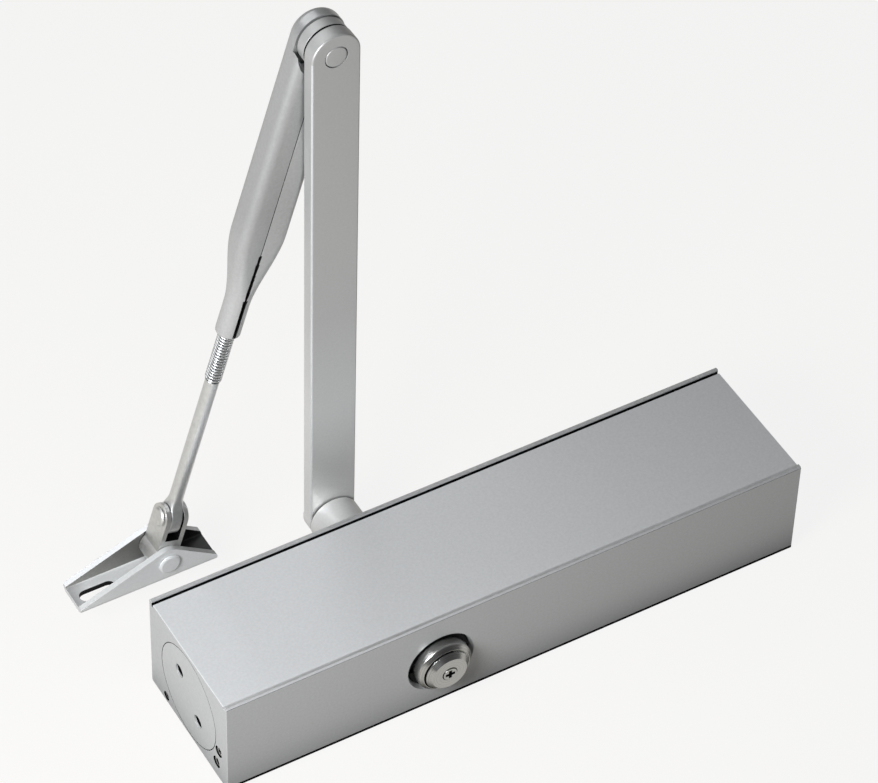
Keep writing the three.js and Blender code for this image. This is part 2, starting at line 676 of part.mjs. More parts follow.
function capScrew() {
  const seat = capFaceY + CAP_SCREW_HEAD_HEIGHT - CLEARANCE;
  const end = seat + CAP_SCREW_LENGTH;
  const top = seat - CAP_SCREW_HEAD_HEIGHT;
  const profile = [
    [0, top], [CAP_SCREW_HEAD_DIAMETER, top], [CAP_SCREW_HEAD_DIAMETER, seat],
    [CAP_SCREW_SHANK_DIAMETER, seat], [CAP_SCREW_SHANK_DIAMETER, end], [0, end],
  ];
  const body = turned("y", profile, SMALL_SIDES);
  const l = CROSS_LENGTH / 2;
  const w = CROSS_WIDTH / 2;
  const slotA = block([-l, top - OVERRUN, -w], [l, top + CROSS_DEPTH, w]);
  const slotB = block([-w, top - OVERRUN, -l], [w, top + CROSS_DEPTH, l]);
  return cut(body, slotA, slotB);
}

function armHub() {
  const square = squareOutline(SQUARE_FLATS + 2 * CLEARANCE, SQUARE_CORNER);
  const hole = plateAlongY(square, hubNearY - OVERRUN, hubFarY + OVERRUN);
  return cut(bar("y", HUB_DIAMETER, hubNearY, hubFarY, FINE_SIDES), hole);
}

// The bar's outline: a round end at the spindle, a little wider than the bar, and one at the knuckle.
function armOutline() {
  const shape = new THREE.Shape();
  const half = ARM_WIDTH / 2;
  const boss = ARM_BOSS_WIDTH / 2;
  const meet = Math.asin(half / boss);
  shape.absarc(0, ARM_CENTRES, half, 0, Math.PI, false);
  shape.absarc(0, 0, boss, Math.PI / 2 + meet, Math.PI / 2 - meet + 2 * Math.PI, false);
  return shape;
}

function mainArm() {
  const plate = plateAlongY(armOutline(), arm.nearY, arm.farY, ARM_EDGE);
  const square = squareOutline(SQUARE_FLATS + 2 * CLEARANCE, SQUARE_CORNER);
  const hole = plateAlongY(square, arm.nearY - OVERRUN, arm.farY + OVERRUN);
  const headSeat = arm.nearY + RIVET_HEAD_THICKNESS + CLEARANCE;
  const shankDiameter = RIVET_SHANK_DIAMETER + 2 * CLEARANCE;
  const headDiameter = RIVET_HEAD_DIAMETER + 2 * CLEARANCE;
  const shankHole = bar("y", shankDiameter, arm.nearY - OVERRUN, arm.farY + OVERRUN);
  const headHole = bar("y", headDiameter, arm.nearY - OVERRUN, headSeat);
  shankHole.translate(0, 0, ARM_CENTRES);
  headHole.translate(0, 0, ARM_CENTRES);
  return cut(plate, hole, shankHole, headHole);
}

const washerNearY = arm.farY + CLEARANCE;
const washerFarY = washerNearY + ARM_WASHER_THICKNESS;
const armScrewSeatY = washerFarY + CLEARANCE;

function armWasher() {
  const hole = ARM_SCREW_SHANK_DIAMETER + 2 * CLEARANCE;
  return ring("y", ARM_WASHER_DIAMETER, hole, washerNearY, washerFarY);
}

function armScrew() {
  const head = plateAlongY(
    hexagonOutline(ARM_SCREW_FLATS),
    armScrewSeatY,
    armScrewSeatY + ARM_SCREW_HEAD_HEIGHT,
  );
  const middle = armScrewSeatY + ARM_SCREW_HEAD_HEIGHT / 2;
  return join(head, bar("y", ARM_SCREW_SHANK_DIAMETER, armScrewSeatY - ARM_SCREW_LENGTH, middle));
}

spindleFrame.add(piece("pinion_shaft", pinionShaft(), hardenedSteel));
spindleFrame.add(piece("spindle_cap", spindleCap(), brightSteel));
spindleFrame.add(piece("cap_screw", capScrew(), zincPlate));
spindleFrame.add(piece("arm_hub", armHub(), paint));
spindleFrame.add(piece("main_arm", mainArm(), paint));
spindleFrame.add(piece("arm_washer", armWasher(), zincPlate));
spindleFrame.add(piece("arm_screw", armScrew(), zincPlate));

function knuckleSpacer() {
  const hole = RIVET_SHANK_DIAMETER + 2 * CLEARANCE;
  return ring("y", KNUCKLE_DISC_DIAMETER, hole, discNearY, discFarY, FINE_SIDES);
}

// The rivet's head is flush in the main arm, and its tail is spread on the forearm's back.
function knuckleRivet() {
  const top = arm.nearY;
  const headBack = top + RIVET_HEAD_THICKNESS;
  const tail = forearmFarY + CLEARANCE;
  const end = tail + RIVET_TAIL_THICKNESS;
  const profile = [
    [0, top], [RIVET_HEAD_DIAMETER, top], [RIVET_HEAD_DIAMETER, headBack],
    [RIVET_SHANK_DIAMETER, headBack], [RIVET_SHANK_DIAMETER, tail],
    [RIVET_TAIL_DIAMETER, tail], [RIVET_SHANK_DIAMETER, end], [0, end],
  ];
  return turned("y", profile);
}

knuckleFrame.add(piece("knuckle_spacer", knuckleSpacer(), paint));
knuckleFrame.add(piece("knuckle_rivet", knuckleRivet(), paint));

// The forearm is drawn in its own frame: its length runs down -Z from the knuckle, its depth is Y.
// The tube's width, depth and corner go from the flat section to the round neck in a smooth step.
function forearmRings(offset, from, to) {
  const rings = [];
  const stations = [from];
  for (let i = 0; i <= TAPER_STEPS; i += 1) {
    const share = i / TAPER_STEPS;
    stations.push(FOREARM_STRAIGHT + share * (FOREARM_NECK_START - FOREARM_STRAIGHT));
  }
  stations.push(to);
  for (const station of stations) {
    const share = THREE.MathUtils.smoothstep(station, FOREARM_STRAIGHT, FOREARM_NECK_START);
    const width = THREE.MathUtils.lerp(FOREARM_WIDTH, NECK_DIAMETER, share) - 2 * offset;
    const depth = THREE.MathUtils.lerp(FOREARM_DEPTH, NECK_DIAMETER, share) - 2 * offset;
    const corner = THREE.MathUtils.lerp(FOREARM_CORNER, NECK_DIAMETER / 2, share) - offset;
    rings.unshift(roundedRing(width, depth, corner, -station));
  }
  return rings;
}

function forearmTube() {
  const half = FOREARM_DEPTH / 2;
  const rings = forearmRings(0, 0, FOREARM_LENGTH - NECK_EDGE);
  const mouth = NECK_DIAMETER - 2 * NECK_EDGE;
  rings.unshift(roundedRing(mouth, mouth, mouth / 2, -FOREARM_LENGTH));
  const tube = loft(rings);
  const profile = [[0, -half]];
  const flat = FOREARM_WIDTH - 2 * FOREARM_CORNER;
  for (let i = 0; i <= CORNER_STEPS; i += 1) {
    const angle = (i / CORNER_STEPS) * (Math.PI / 2);
    const diameter = flat + 2 * FOREARM_CORNER * Math.sin(angle);
    profile.push([diameter, -half + FOREARM_CORNER * (1 - Math.cos(angle))]);
  }
  for (let i = CORNER_STEPS; i >= 0; i -= 1) {
    const angle = (i / CORNER_STEPS) * (Math.PI / 2);
    const diameter = flat + 2 * FOREARM_CORNER * Math.sin(angle);
    profile.push([diameter, half - FOREARM_CORNER * (1 - Math.cos(angle))]);
  }
  profile.push([0, half]);
  const eye = turned("y", profile, FINE_SIDES);
  const hollow = loft(forearmRings(FOREARM_WALL, FOREARM_EYE_SOLID, FOREARM_NECK_START));
  const boreDiameter = THREAD_DIAMETER + 2 * CLEARANCE;
  const bore = bar("z", boreDiameter, -FOREARM_LENGTH - OVERRUN, -FOREARM_STRAIGHT, SMALL_SIDES);
  const notch = bar("y", NOTCH_DIAMETER, -half - OVERRUN, forearmEyeY - forearmY, SIDES);
  const seamHalf = SEAM_WIDTH / 2;
  const neckHalf = SEAM_NECK_WIDTH / 2;
  const seam = block([-seamHalf, -half - OVERRUN, -FOREARM_LENGTH - OVERRUN], [seamHalf, 0, 0]);
  const slit = outline([
    [-seamHalf, -FOREARM_NECK_START],
    [-neckHalf, -FOREARM_LENGTH - OVERRUN],
    [neckHalf, -FOREARM_LENGTH - OVERRUN],
    [seamHalf, -FOREARM_NECK_START],
  ]);
  const neckSlit = plateAlongY(slit, -half - OVERRUN, 0);
  const hole = bar("y", RIVET_SHANK_DIAMETER + 2 * CLEARANCE, -half - OVERRUN, half + OVERRUN);
  return cut(join(tube, eye), hollow, bore, notch, seam, neckSlit, hole);
}

// The rod: rolled thread as plain grooves, a shank and a flat tongue for its upper pin. Nothing
// of the shank comes down as far as the swivel's ears.
function threadedRod() {
  const pinZ = -FOREARM_PIN_CENTRES;
  const shoulder = pinZ + SWIVEL_WIDTH / 2 + 2 * CLEARANCE;
  const root = THREAD_DIAMETER - 2 * THREAD_DEPTH;
  const profile = [[0, shoulder], [ROD_DIAMETER, shoulder], [ROD_DIAMETER, -THREAD_END]];
  for (let z = -THREAD_END; z + THREAD_PITCH < -THREAD_START; z += THREAD_PITCH) {
    profile.push([root, z + CLEARANCE / 2]);
    profile.push([THREAD_DIAMETER, z + THREAD_PITCH / 2]);
  }
  profile.push([root, -THREAD_START], [root, -ROD_INNER_END], [0, -ROD_INNER_END]);
  const shank = turned("z", profile, SMALL_SIDES);
  const across = TONGUE_WIDTH / 2;
  const half = TONGUE_THICKNESS / 2;
  const flat = new THREE.Shape();
  flat.moveTo(-across, pinZ);
  flat.lineTo(-across, pinZ - TONGUE_REACH + across);
  flat.absarc(0, pinZ - TONGUE_REACH + across, across, Math.PI, 2 * Math.PI, false);
  flat.lineTo(across, pinZ);
  flat.lineTo(ROD_DIAMETER / 2, shoulder);
  flat.lineTo(ROD_DIAMETER / 2, shoulder + ROD_DIAMETER / 2);
  flat.lineTo(-ROD_DIAMETER / 2, shoulder + ROD_DIAMETER / 2);
  flat.lineTo(-ROD_DIAMETER / 2, shoulder);
  const tongue = barAlongX(flat, -half, half);
  const hole = bar("x", UPPER_PIN_DIAMETER + 2 * CLEARANCE, -half - OVERRUN, half + OVERRUN, SMALL_SIDES);
  return cut(join(shank, tongue), hole.translate(0, 0, pinZ));
}

forearmFrame.add(piece("forearm_tube", forearmTube(), paint));
forearmFrame.add(piece("threaded_rod", threadedRod(), zincPlate));

// The swivel is drawn round the upper pin: two ears above, a barrel for the lower pin below.
function swivelBlock() {
  const across = SWIVEL_WIDTH / 2;
  const ears = bar("x", SWIVEL_WIDTH, -swivelHalf, swivelHalf);
  const stem = block([-swivelHalf, -across, -SWIVEL_CENTRES], [swivelHalf, across, 0]);
  const barrel = bar("y", BARREL_DIAMETER, -across, across).translate(0, 0, -SWIVEL_CENTRES);
  const fork = TONGUE_THICKNESS / 2 + CLEARANCE;
  const reach = across + OVERRUN;
  const gap = block([-fork, -reach, -CROTCH_DISTANCE], [fork, reach, reach]);
  const upperReach = swivelHalf + OVERRUN;
  const upper = bar("x", UPPER_PIN_DIAMETER + 2 * CLEARANCE, -upperReach, upperReach, SMALL_SIDES);
  const lower = bar("y", LOWER_PIN_DIAMETER + 2 * CLEARANCE, -reach, reach, SMALL_SIDES);
  lower.translate(0, 0, -SWIVEL_CENTRES);
  return cut(join(ears, stem, barrel), gap, upper, lower);
}

// A pin with a low head on each end, along an axis, for a grip of the given half length.
function headedPin(axis, diameter, headDiameter, headHeight, halfGrip) {
  const seat = halfGrip + CLEARANCE;
  const end = seat + headHeight;
  const flat = headDiameter - 2 * headHeight;
  const profile = [
    [0, -end], [flat, -end], [headDiameter, -seat - headHeight / 2], [headDiameter, -seat],
    [diameter, -seat], [diameter, seat], [headDiameter, seat],
    [headDiameter, seat + headHeight / 2], [flat, end], [0, end],
  ];
  return turned(axis, profile, SMALL_SIDES);
}

const upperHead = [UPPER_PIN_DIAMETER, UPPER_PIN_HEAD_DIAMETER, UPPER_PIN_HEAD_HEIGHT];
const lowerHead = [LOWER_PIN_DIAMETER, LOWER_PIN_HEAD_DIAMETER, LOWER_PIN_HEAD_HEIGHT];
upperPinFrame.add(piece("swivel_block", swivelBlock(), zincPlate));
upperPinFrame.add(piece("upper_pin", headedPin("x", ...upperHead, swivelHalf), zincPlate));
shoeFrame.add(piece("lower_pin", headedPin("y", ...lowerHead, shoeOutside), zincPlate));

// The angle on the apex circle where a line from a rounded tip touches it.
function slopeToApex(x, z, radius, side) {
  const dx = x - SHOE_APEX_OFFSET;
  const direction = Math.atan2(z, dx);
  return direction - side * Math.acos((SHOE_APEX_RADIUS - radius) / Math.hypot(dx, z));
}

// The shoe is drawn round the lower pin: a channel bent from sheet, whose side outline rises from
// the left tip to a round apex over the pin and falls to a low round nose.
function shoeBracket() {
  const floor = -SHOE_PIN_HEIGHT;
  const left = -SHOE_LEFT_REACH;
  const right = SHOE_RIGHT_REACH;
  const nose = SHOE_NOSE_RADIUS;
  const noseX = right - nose;
  const noseZ = floor + SHOE_RIGHT_TIP - nose;
  const tipZ = floor + SHOE_LEFT_TIP;
  const rightSlope = slopeToApex(noseX, noseZ, nose, -1);
  const leftSlope = slopeToApex(left, tipZ, 0, 1);
  const side = new THREE.Shape();
  side.moveTo(left, floor);
  side.lineTo(noseX, floor);
  side.absarc(noseX, floor + nose, nose, -Math.PI / 2, 0, false);
  side.absarc(noseX, noseZ, nose, 0, rightSlope, false);
  side.absarc(SHOE_APEX_OFFSET, 0, SHOE_APEX_RADIUS, rightSlope, leftSlope, false);
  side.lineTo(left, tipZ);
  const reach = shoeOutside + OVERRUN;
  const profile = plateAlongY(side, -reach, reach);

  const outerBend = SHOE_INNER_BEND + SHOE_SHEET;
  const bendY = shoeInside - SHOE_INNER_BEND;
  const bendZ = floor + outerBend;
  const top = SHOE_APEX_RADIUS + OVERRUN;
  const quarter = Math.PI / 2;
  const section = new THREE.Shape();
  section.moveTo(-shoeOutside, top);
  section.lineTo(-shoeOutside, bendZ);
  section.absarc(-bendY, bendZ, outerBend, 2 * quarter, 3 * quarter, false);
  section.absarc(bendY, bendZ, outerBend, 3 * quarter, 4 * quarter, false);
  section.lineTo(shoeOutside, top);
  section.lineTo(shoeInside, top);
  section.absarc(bendY, bendZ, SHOE_INNER_BEND, 0, -quarter, true);
  section.absarc(-bendY, bendZ, SHOE_INNER_BEND, -quarter, -2 * quarter, true);
  section.lineTo(-shoeInside, top);
  const channel = barAlongX(section, left - OVERRUN, right + OVERRUN, BEND_STEPS);

  const slotHalf = SHOE_SLOT_WIDTH / 2;
  const slotStart = left + SHOE_SLOT_INSET + slotHalf;
  const slotEnd = left + SHOE_SLOT_INSET + SHOE_SLOT_LENGTH - slotHalf;
  const depths = [floor - OVERRUN, floor + SHOE_SHEET + CLEARANCE];
  const slot = join(
    bar("z", SHOE_SLOT_WIDTH, ...depths, SMALL_SIDES).translate(slotStart, 0, 0),
    bar("z", SHOE_SLOT_WIDTH, ...depths, SMALL_SIDES).translate(slotEnd, 0, 0),
    block([slotStart, -slotHalf, depths[0]], [slotEnd, slotHalf, depths[1]]),
  );
  slot.translate(0, SHOE_SLOT_Y, 0);
  const pinHole = bar("y", LOWER_PIN_DIAMETER + 2 * CLEARANCE, -reach, reach, SMALL_SIDES);
  return cut(shared(channel, profile), slot, pinHole);
}
shoeFrame.add(piece("shoe_bracket", shoeBracket(), paint));

// The piston: a window right through it lets the pinion reach the rack on its upper side.
const pistonDiameter = BORE_DIAMETER - 2 * CLEARANCE;
const windowReach = pitchRadius + PINION_ADDENDUM + 2 * CLEARANCE;
const windowRight = SPINDLE_X + windowReach;
const windowLeft = SPINDLE_X - travel - windowReach;
const pistonLeft = windowLeft - PISTON_LEFT_LAND;
const pistonRight = windowRight + PISTON_RIGHT_LAND;
const windowTop = pitchRadius + PINION_ADDENDUM + TOOTH_CLEARANCE;

// Rack teeth along the top of the window, with a tooth space over the pinion's top tooth.
function rackTeeth() {
  const slope = Math.tan(THREE.MathUtils.degToRad(PRESSURE_DEGREES));
  const half = toothPitch / 4;
  const tipHalf = half - RACK_ADDENDUM * slope;
  const rootHalf = half + (windowTop - pitchRadius) * slope;
  const teeth = [];
  for (let x = SPINDLE_X + toothPitch / 2; x - rootHalf > windowLeft; x -= toothPitch) {
    const shape = outline([
      [x - tipHalf, pitchRadius - RACK_ADDENDUM],
      [x + tipHalf, pitchRadius - RACK_ADDENDUM],
      [x + rootHalf, windowTop],
      [x + rootHalf, windowTop + TOOTH_CLEARANCE],
      [x - rootHalf, windowTop + TOOTH_CLEARANCE],
      [x - rootHalf, windowTop],
    ]);
    teeth.push(plateAlongY(shape, -RACK_WIDTH / 2, RACK_WIDTH / 2));
  }
  return teeth;
}

function pistonRing(room = 0, outside = 0) {
  const middle = pistonLeft + PISTON_SEAL_INSET;
  const half = PISTON_RING_WIDTH / 2 + room;
  const inner = pistonDiameter - 2 * PISTON_RING_DEPTH - 2 * room;
  return ring("x", pistonDiameter + 2 * outside, inner, middle - half, middle + half, FINE_SIDES);
}

const ballSeatX = pistonLeft + CHECK_BORE_DEPTH;
const ballX = ballSeatX - CHECK_BALL_DIAMETER / 2 - CLEARANCE;

function rackPiston() {
  const body = bar("x", pistonDiameter, pistonLeft, pistonRight, FINE_SIDES);
  const spigot = bar("x", SPIGOT_DIAMETER, pistonRight - OVERRUN, pistonRight + SPIGOT_LENGTH);
  const side = pistonDiameter / 2 + OVERRUN;
  const opening = block([windowLeft, -side, -windowTop - CLEARANCE], [windowRight, side, windowTop]);
  const ballBore = bar("x", CHECK_BORE_DIAMETER, pistonLeft - OVERRUN, ballSeatX, SMALL_SIDES);
  const port = bar("x", CHECK_PORT_DIAMETER, pistonLeft, windowLeft + OVERRUN, SMALL_SIDES);
  const carcass = cut(join(body, spigot), opening, ballBore, port, pistonRing(CLEARANCE, OVERRUN));
  return join(carcass, ...rackTeeth());
}

function checkRetainer() {
  const outer = CHECK_BORE_DIAMETER - 2 * CLEARANCE;
  const seat = ballX - CHECK_BALL_DIAMETER / 2 - CHECK_BALL_LIFT - CLEARANCE;
  return ring("x", outer, CHECK_PORT_DIAMETER, seat - RETAINER_THICKNESS, seat, SMALL_SIDES);
}

boreFrame.add(piece("rack_piston", rackPiston(), hardenedSteel));
boreFrame.add(piece("piston_seal", pistonRing(), nitrile));
boreFrame.add(piece("check_valve_retainer", checkRetainer(), hardenedSteel));
const ball = new THREE.SphereGeometry(CHECK_BALL_DIAMETER / 2, SMALL_SIDES, SMALL_SIDES / 2);
boreFrame.add(piece("check_ball", ball.translate(ballX, 0, 0), hardenedSteel));

// The wire's centre line: open coils between one closed turn at each end.
class SpringPath extends THREE.Curve {
  constructor(start, end) {
    super();
    this.start = start;
    this.end = end;
  }
  getPoint(t, target = new THREE.Vector3()) {
    const turn = t * SPRING_TURNS;
    const closed = SPRING_WIRE + SPRING_CLOSED_GAP;
    const open = (this.end - this.start - 2 * closed) / (SPRING_TURNS - 2);
    const inEnd = Math.min(turn, 1) + Math.max(turn - (SPRING_TURNS - 1), 0);
    const x = this.start + inEnd * closed + (turn - inEnd) * open;
    const radius = (SPRING_DIAMETER - SPRING_WIRE) / 2;
    const angle = turn * 2 * Math.PI;
    return target.set(x, radius * Math.cos(angle), radius * Math.sin(angle));
  }
}

function closingSpring() {
  const half = SPRING_WIRE / 2;
  const start = pistonRight + CLEARANCE + half;
  const end = bodyEnd - PLUG_THICKNESS - CLEARANCE - half;
  const wire = new THREE.Shape();
  for (let i = 0; i < WIRE_SIDES; i += 1) {
    const angle = (i * 2 * Math.PI) / WIRE_SIDES;
    const place = [half * Math.cos(angle), half * Math.sin(angle)];
    if (i === 0) {
      wire.moveTo(...place);
    } else {
      wire.lineTo(...place);
    }
  }
  const extrudePath = new SpringPath(start, end);
  return new THREE.ExtrudeGeometry(wire, { steps: SPRING_TURNS * STEPS_PER_TURN, extrudePath });
}
boreFrame.add(piece("closing_spring", closingSpring(), springSteel));

export default closer;
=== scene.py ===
# %% [markdown]
# # An overhead door closer
# This lesson dresses a door closer for a studio picture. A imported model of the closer, called the
# frame, already holds every piece at its real size, and it knows which pieces move together. The
# lesson keeps that frame as it is, builds finer surfaces over the pieces that the eye rests on, and
# gives every piece its finish.

# %% Load the frame
import json
import bmesh
import bpy
import numpy as np
from mathutils import Matrix, Vector


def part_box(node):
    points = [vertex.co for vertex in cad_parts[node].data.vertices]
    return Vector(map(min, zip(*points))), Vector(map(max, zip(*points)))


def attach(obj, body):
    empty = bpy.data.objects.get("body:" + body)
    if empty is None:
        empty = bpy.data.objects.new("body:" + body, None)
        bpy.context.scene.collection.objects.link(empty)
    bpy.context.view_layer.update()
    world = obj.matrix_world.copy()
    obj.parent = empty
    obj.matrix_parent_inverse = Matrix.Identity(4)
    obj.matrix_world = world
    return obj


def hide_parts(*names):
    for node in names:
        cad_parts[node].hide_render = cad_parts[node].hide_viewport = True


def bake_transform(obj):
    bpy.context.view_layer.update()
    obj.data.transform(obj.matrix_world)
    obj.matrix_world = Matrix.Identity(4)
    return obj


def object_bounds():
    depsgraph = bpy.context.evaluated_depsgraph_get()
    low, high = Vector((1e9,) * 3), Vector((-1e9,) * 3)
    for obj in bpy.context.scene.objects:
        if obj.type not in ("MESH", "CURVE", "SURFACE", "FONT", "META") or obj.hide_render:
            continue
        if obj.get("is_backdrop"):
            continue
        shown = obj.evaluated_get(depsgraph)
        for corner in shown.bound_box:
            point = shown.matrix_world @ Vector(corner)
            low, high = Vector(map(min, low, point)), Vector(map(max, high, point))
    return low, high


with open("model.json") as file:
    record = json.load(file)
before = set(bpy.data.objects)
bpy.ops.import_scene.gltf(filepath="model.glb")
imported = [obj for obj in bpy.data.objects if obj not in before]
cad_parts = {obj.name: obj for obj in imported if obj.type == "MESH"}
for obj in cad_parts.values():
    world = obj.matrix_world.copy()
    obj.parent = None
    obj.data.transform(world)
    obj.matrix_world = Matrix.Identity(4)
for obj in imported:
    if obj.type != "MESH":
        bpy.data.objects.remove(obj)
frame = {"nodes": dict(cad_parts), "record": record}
frame_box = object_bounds()

# %% [markdown]
# ## Units and colours
# A fitter thinks of this closer in millimetres, and Blender in metres, so shapes are worked out in
# millimetres and scaled once, when they become a mesh. Colours are read off a screen as sRGB hex
# values, while shaders want linear light, so one function turns the first into the second.

# %% Units and colours
MM = 0.001


def linear(hex_colour):
    """Up to 0.04045 the value over 12.92, above it ((value + 0.055) / 1.055) to the power 2.4."""
    srgb = np.array([int(hex_colour[i:i + 2], 16) for i in (1, 3, 5)]) / 255
    light = np.where(srgb <= 0.04045, srgb / 12.92, ((srgb + 0.055) / 1.055) ** 2.4)
    return (*light.tolist(), 1.0)


# %% [markdown]
# ## Camera
# The photograph is a product shot from the left, in front and well above, with a long lens. The
# three directions of the camera were found by matching corners of the body, the ends of the arms
# and the pins of the shoe, and they are set as the columns of its turn.

# %% Camera
RIGHT = Vector((0.86601795, -0.49943598, 0.02401284))
UP = Vector((0.34660269, 0.63423409, 0.69109601))
BACK = Vector((-0.36038797, -0.59017863, 0.72236396))
STANDPOINT = Vector((-0.54889, -0.86570, 1.19091))
PICTURE_WIDTH = 878
FOCAL_PIXELS = 4144

camera = bpy.data.objects.new("camera", bpy.data.cameras.new("camera"))
bpy.context.scene.collection.objects.link(camera)
turn = Matrix((RIGHT, UP, BACK)).transposed().to_4x4()
camera.matrix_world = Matrix.Translation(STANDPOINT) @ turn
camera.data.sensor_width = 36
camera.data.lens = camera.data.sensor_width * FOCAL_PIXELS / PICTURE_WIDTH
camera.data.clip_end = 20
bpy.context.scene.camera = camera
print("lens", round(camera.data.lens, 1), "mm")

# %% [markdown]
# ## A helper for nodes
# A material is a small network. Every network below is built with one helper, which adds a node,
# sets its options, and fills each input with a value or a link.

# %% Node helper
def add(tree, kind, inputs=(), **options):
    node = tree.nodes.new("ShaderNode" + kind)
    for name, value in options.items():
        setattr(node, name, value)
    for name, value in dict(inputs).items():
        if isinstance(value, bpy.types.NodeSocket):
            tree.links.new(value, node.inputs[name])
        else:
            node.inputs[name].default_value = value
    return node


def new_material(name):
    material = bpy.data.materials.new(name)
    material.use_nodes = True
    material.node_tree.nodes.clear()
    return material, material.node_tree


# %% [markdown]
# ## Studio
# The closer lies on a pale sweep of paper. The paper and the room show their own colour to the
# camera, and a share of it to mirrors. The rest is real shading, so that a faint shadow stays. A
# ray knows where it comes from, so one function gives each kind of ray its share.

# %% Shares for the camera and for mirrors
def ray_share(tree, for_camera, for_mirror):
    """for_camera on rays from the camera, for_mirror on rays off gloss or through glass, else 0."""
    path = add(tree, "LightPath")
    mirrored = add(tree, "Math", {0: path.outputs["Is Glossy Ray"],
                                  1: path.outputs["Is Transmission Ray"]}, operation="MAXIMUM")
    mirrored = add(tree, "Math", {0: mirrored.outputs[0], 1: for_mirror}, operation="MULTIPLY")
    direct = add(tree, "Math", {0: path.outputs["Is Camera Ray"], 1: for_camera},
                 operation="MULTIPLY")
    return add(tree, "Math", {0: direct.outputs[0], 1: mirrored.outputs[0]},
               operation="MAXIMUM").outputs[0]


# %% [markdown]
# ## Paper
# The sheet lies a little under the closer, so that the two never share a plane. In gloss it looks
# slightly warmer than to the camera, which keeps zinc from turning blue. The body shades the paper
# close to it, and mirrors would miss that, since the paper's own light has no shadow. So the share
# for mirrors fades out within about a centimetre of the body, on three sides, and its foot stays
# dark.

# %% Paper
CAMERA_SHARE, MIRROR_SHARE = 0.885, 0.58
SHADE_EDGES = (("Y", -0.045, -0.03), ("Y", 0.04, 0.03), ("X", -0.132, -0.122))
HALF_SHEET, SHEET_LEVEL = 6, -0.0004

sweep_paper, tree = new_material("sweep_paper")
cloud = add(tree, "TexNoise", {"Vector": add(tree, "TexCoord").outputs["Object"], "Scale": 3.0})
paper = add(tree, "Mix", {"Factor": cloud.outputs["Fac"], "A": linear("#FCFCFC"),
                          "B": linear("#FEFEFE")}, data_type="RGBA")
matt = add(tree, "BsdfDiffuse", {"Color": linear("#48453E")})
spot = add(tree, "SeparateXYZ", {0: add(tree, "TexCoord").outputs["Object"]})
shade = 1.0
for axis, bright, dark in SHADE_EDGES:
    edge = add(tree, "MapRange", {"Value": spot.outputs[axis], "From Min": bright,
                                  "From Max": dark}, interpolation_type="SMOOTHSTEP")
    shade = add(tree, "Math", {0: edge.outputs["Result"], 1: shade},
                operation="MULTIPLY").outputs[0]
open_share = add(tree, "Math", {0: shade, 1: -MIRROR_SHARE, 2: MIRROR_SHARE},
                 operation="MULTIPLY_ADD").outputs[0]
warm = add(tree, "Mix", {"Factor": add(tree, "LightPath").outputs["Is Glossy Ray"],
                         "A": paper.outputs["Result"], "B": linear("#FFFDF9")}, data_type="RGBA")
lit = add(tree, "Emission", {"Color": warm.outputs["Result"],
                             "Strength": ray_share(tree, CAMERA_SHARE, open_share)})
both = add(tree, "AddShader", {0: matt.outputs[0], 1: lit.outputs[0]})
add(tree, "OutputMaterial", {"Surface": both.outputs[0]})

floor_mesh = bpy.data.meshes.new("floor")
sheet_corners = [(x * HALF_SHEET, y * HALF_SHEET, SHEET_LEVEL)
                 for x, y in ((-1, -1), (1, -1), (1, 1), (-1, 1))]
floor_mesh.from_pydata(sheet_corners, [], [(0, 1, 2, 3)])
floor = bpy.data.objects.new("floor", floor_mesh)
bpy.context.scene.collection.objects.link(floor)
floor_mesh.materials.append(sweep_paper)
floor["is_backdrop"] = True
print("paper", 2 * HALF_SHEET, "m wide")

# %% [markdown]
# ## Room and lamps
# Behind the camera the room is dark, which gives polished steel something dark to reflect, and it
# brightens towards the back. One soft lamp hangs close by on the left, so the light fades along the
# body from left to right, as in the photograph, and the near faces of the body and of the arms,
# which look away from it, are darker than the top. A second, weaker one behind on the left draws
# the bright edges. Both are very slightly cool.

# %% Room and lamps
PALE, AMBIENT = "#F5F5F5", 0.14
COOL_WHITE = "#FBFDFF"
AIM = (-0.08, 0.0, 0.06)

world = bpy.data.worlds.new("studio")
bpy.context.scene.world = world
world.use_nodes = True
world.node_tree.nodes.clear()
tree = world.node_tree
direction = add(tree, "SeparateXYZ", {0: add(tree, "TexCoord").outputs["Generated"]})
mirrored_room = add(tree, "MapRange", {"Value": direction.outputs["Y"], "From Min": -0.8,
                                       "From Max": 0.2, "To Min": 0.05, "To Max": 0.3})
path = add(tree, "LightPath")
room = add(tree, "Mix", {"Factor": path.outputs["Is Glossy Ray"], "A": AMBIENT,
                         "B": mirrored_room.outputs["Result"]})
strength = add(tree, "Mix", {"Factor": ray_share(tree, 1.0, 0.0), "A": room.outputs["Result"],
                             "B": 1.0})
glow = add(tree, "Background", {"Color": linear(PALE), "Strength": strength.outputs["Result"]})
add(tree, "OutputWorld", {"Surface": glow.outputs[0]})


def softbox(name, place, aim, width, height, power):
    lamp = bpy.data.lights.new(name, "AREA")
    lamp.shape = "RECTANGLE"
    lamp.size, lamp.size_y, lamp.energy = width, height, power
    lamp.color = linear(COOL_WHITE)[:3]
    box = bpy.data.objects.new(name, lamp)
    box.location = place
    box.rotation_euler = (Vector(place) - Vector(aim)).to_track_quat("Z", "Y").to_euler()
    bpy.context.scene.collection.objects.link(box)


softbox("key_softbox", (-0.45, -0.2, 0.41), AIM, 0.25, 0.25, 4.6)
softbox("edge_softbox", (-0.2, 0.62, 0.8), AIM, 0.8, 0.36, 1.3)
bpy.context.scene.view_settings.view_transform = "Standard"
print(len(bpy.data.lights), "lamps")

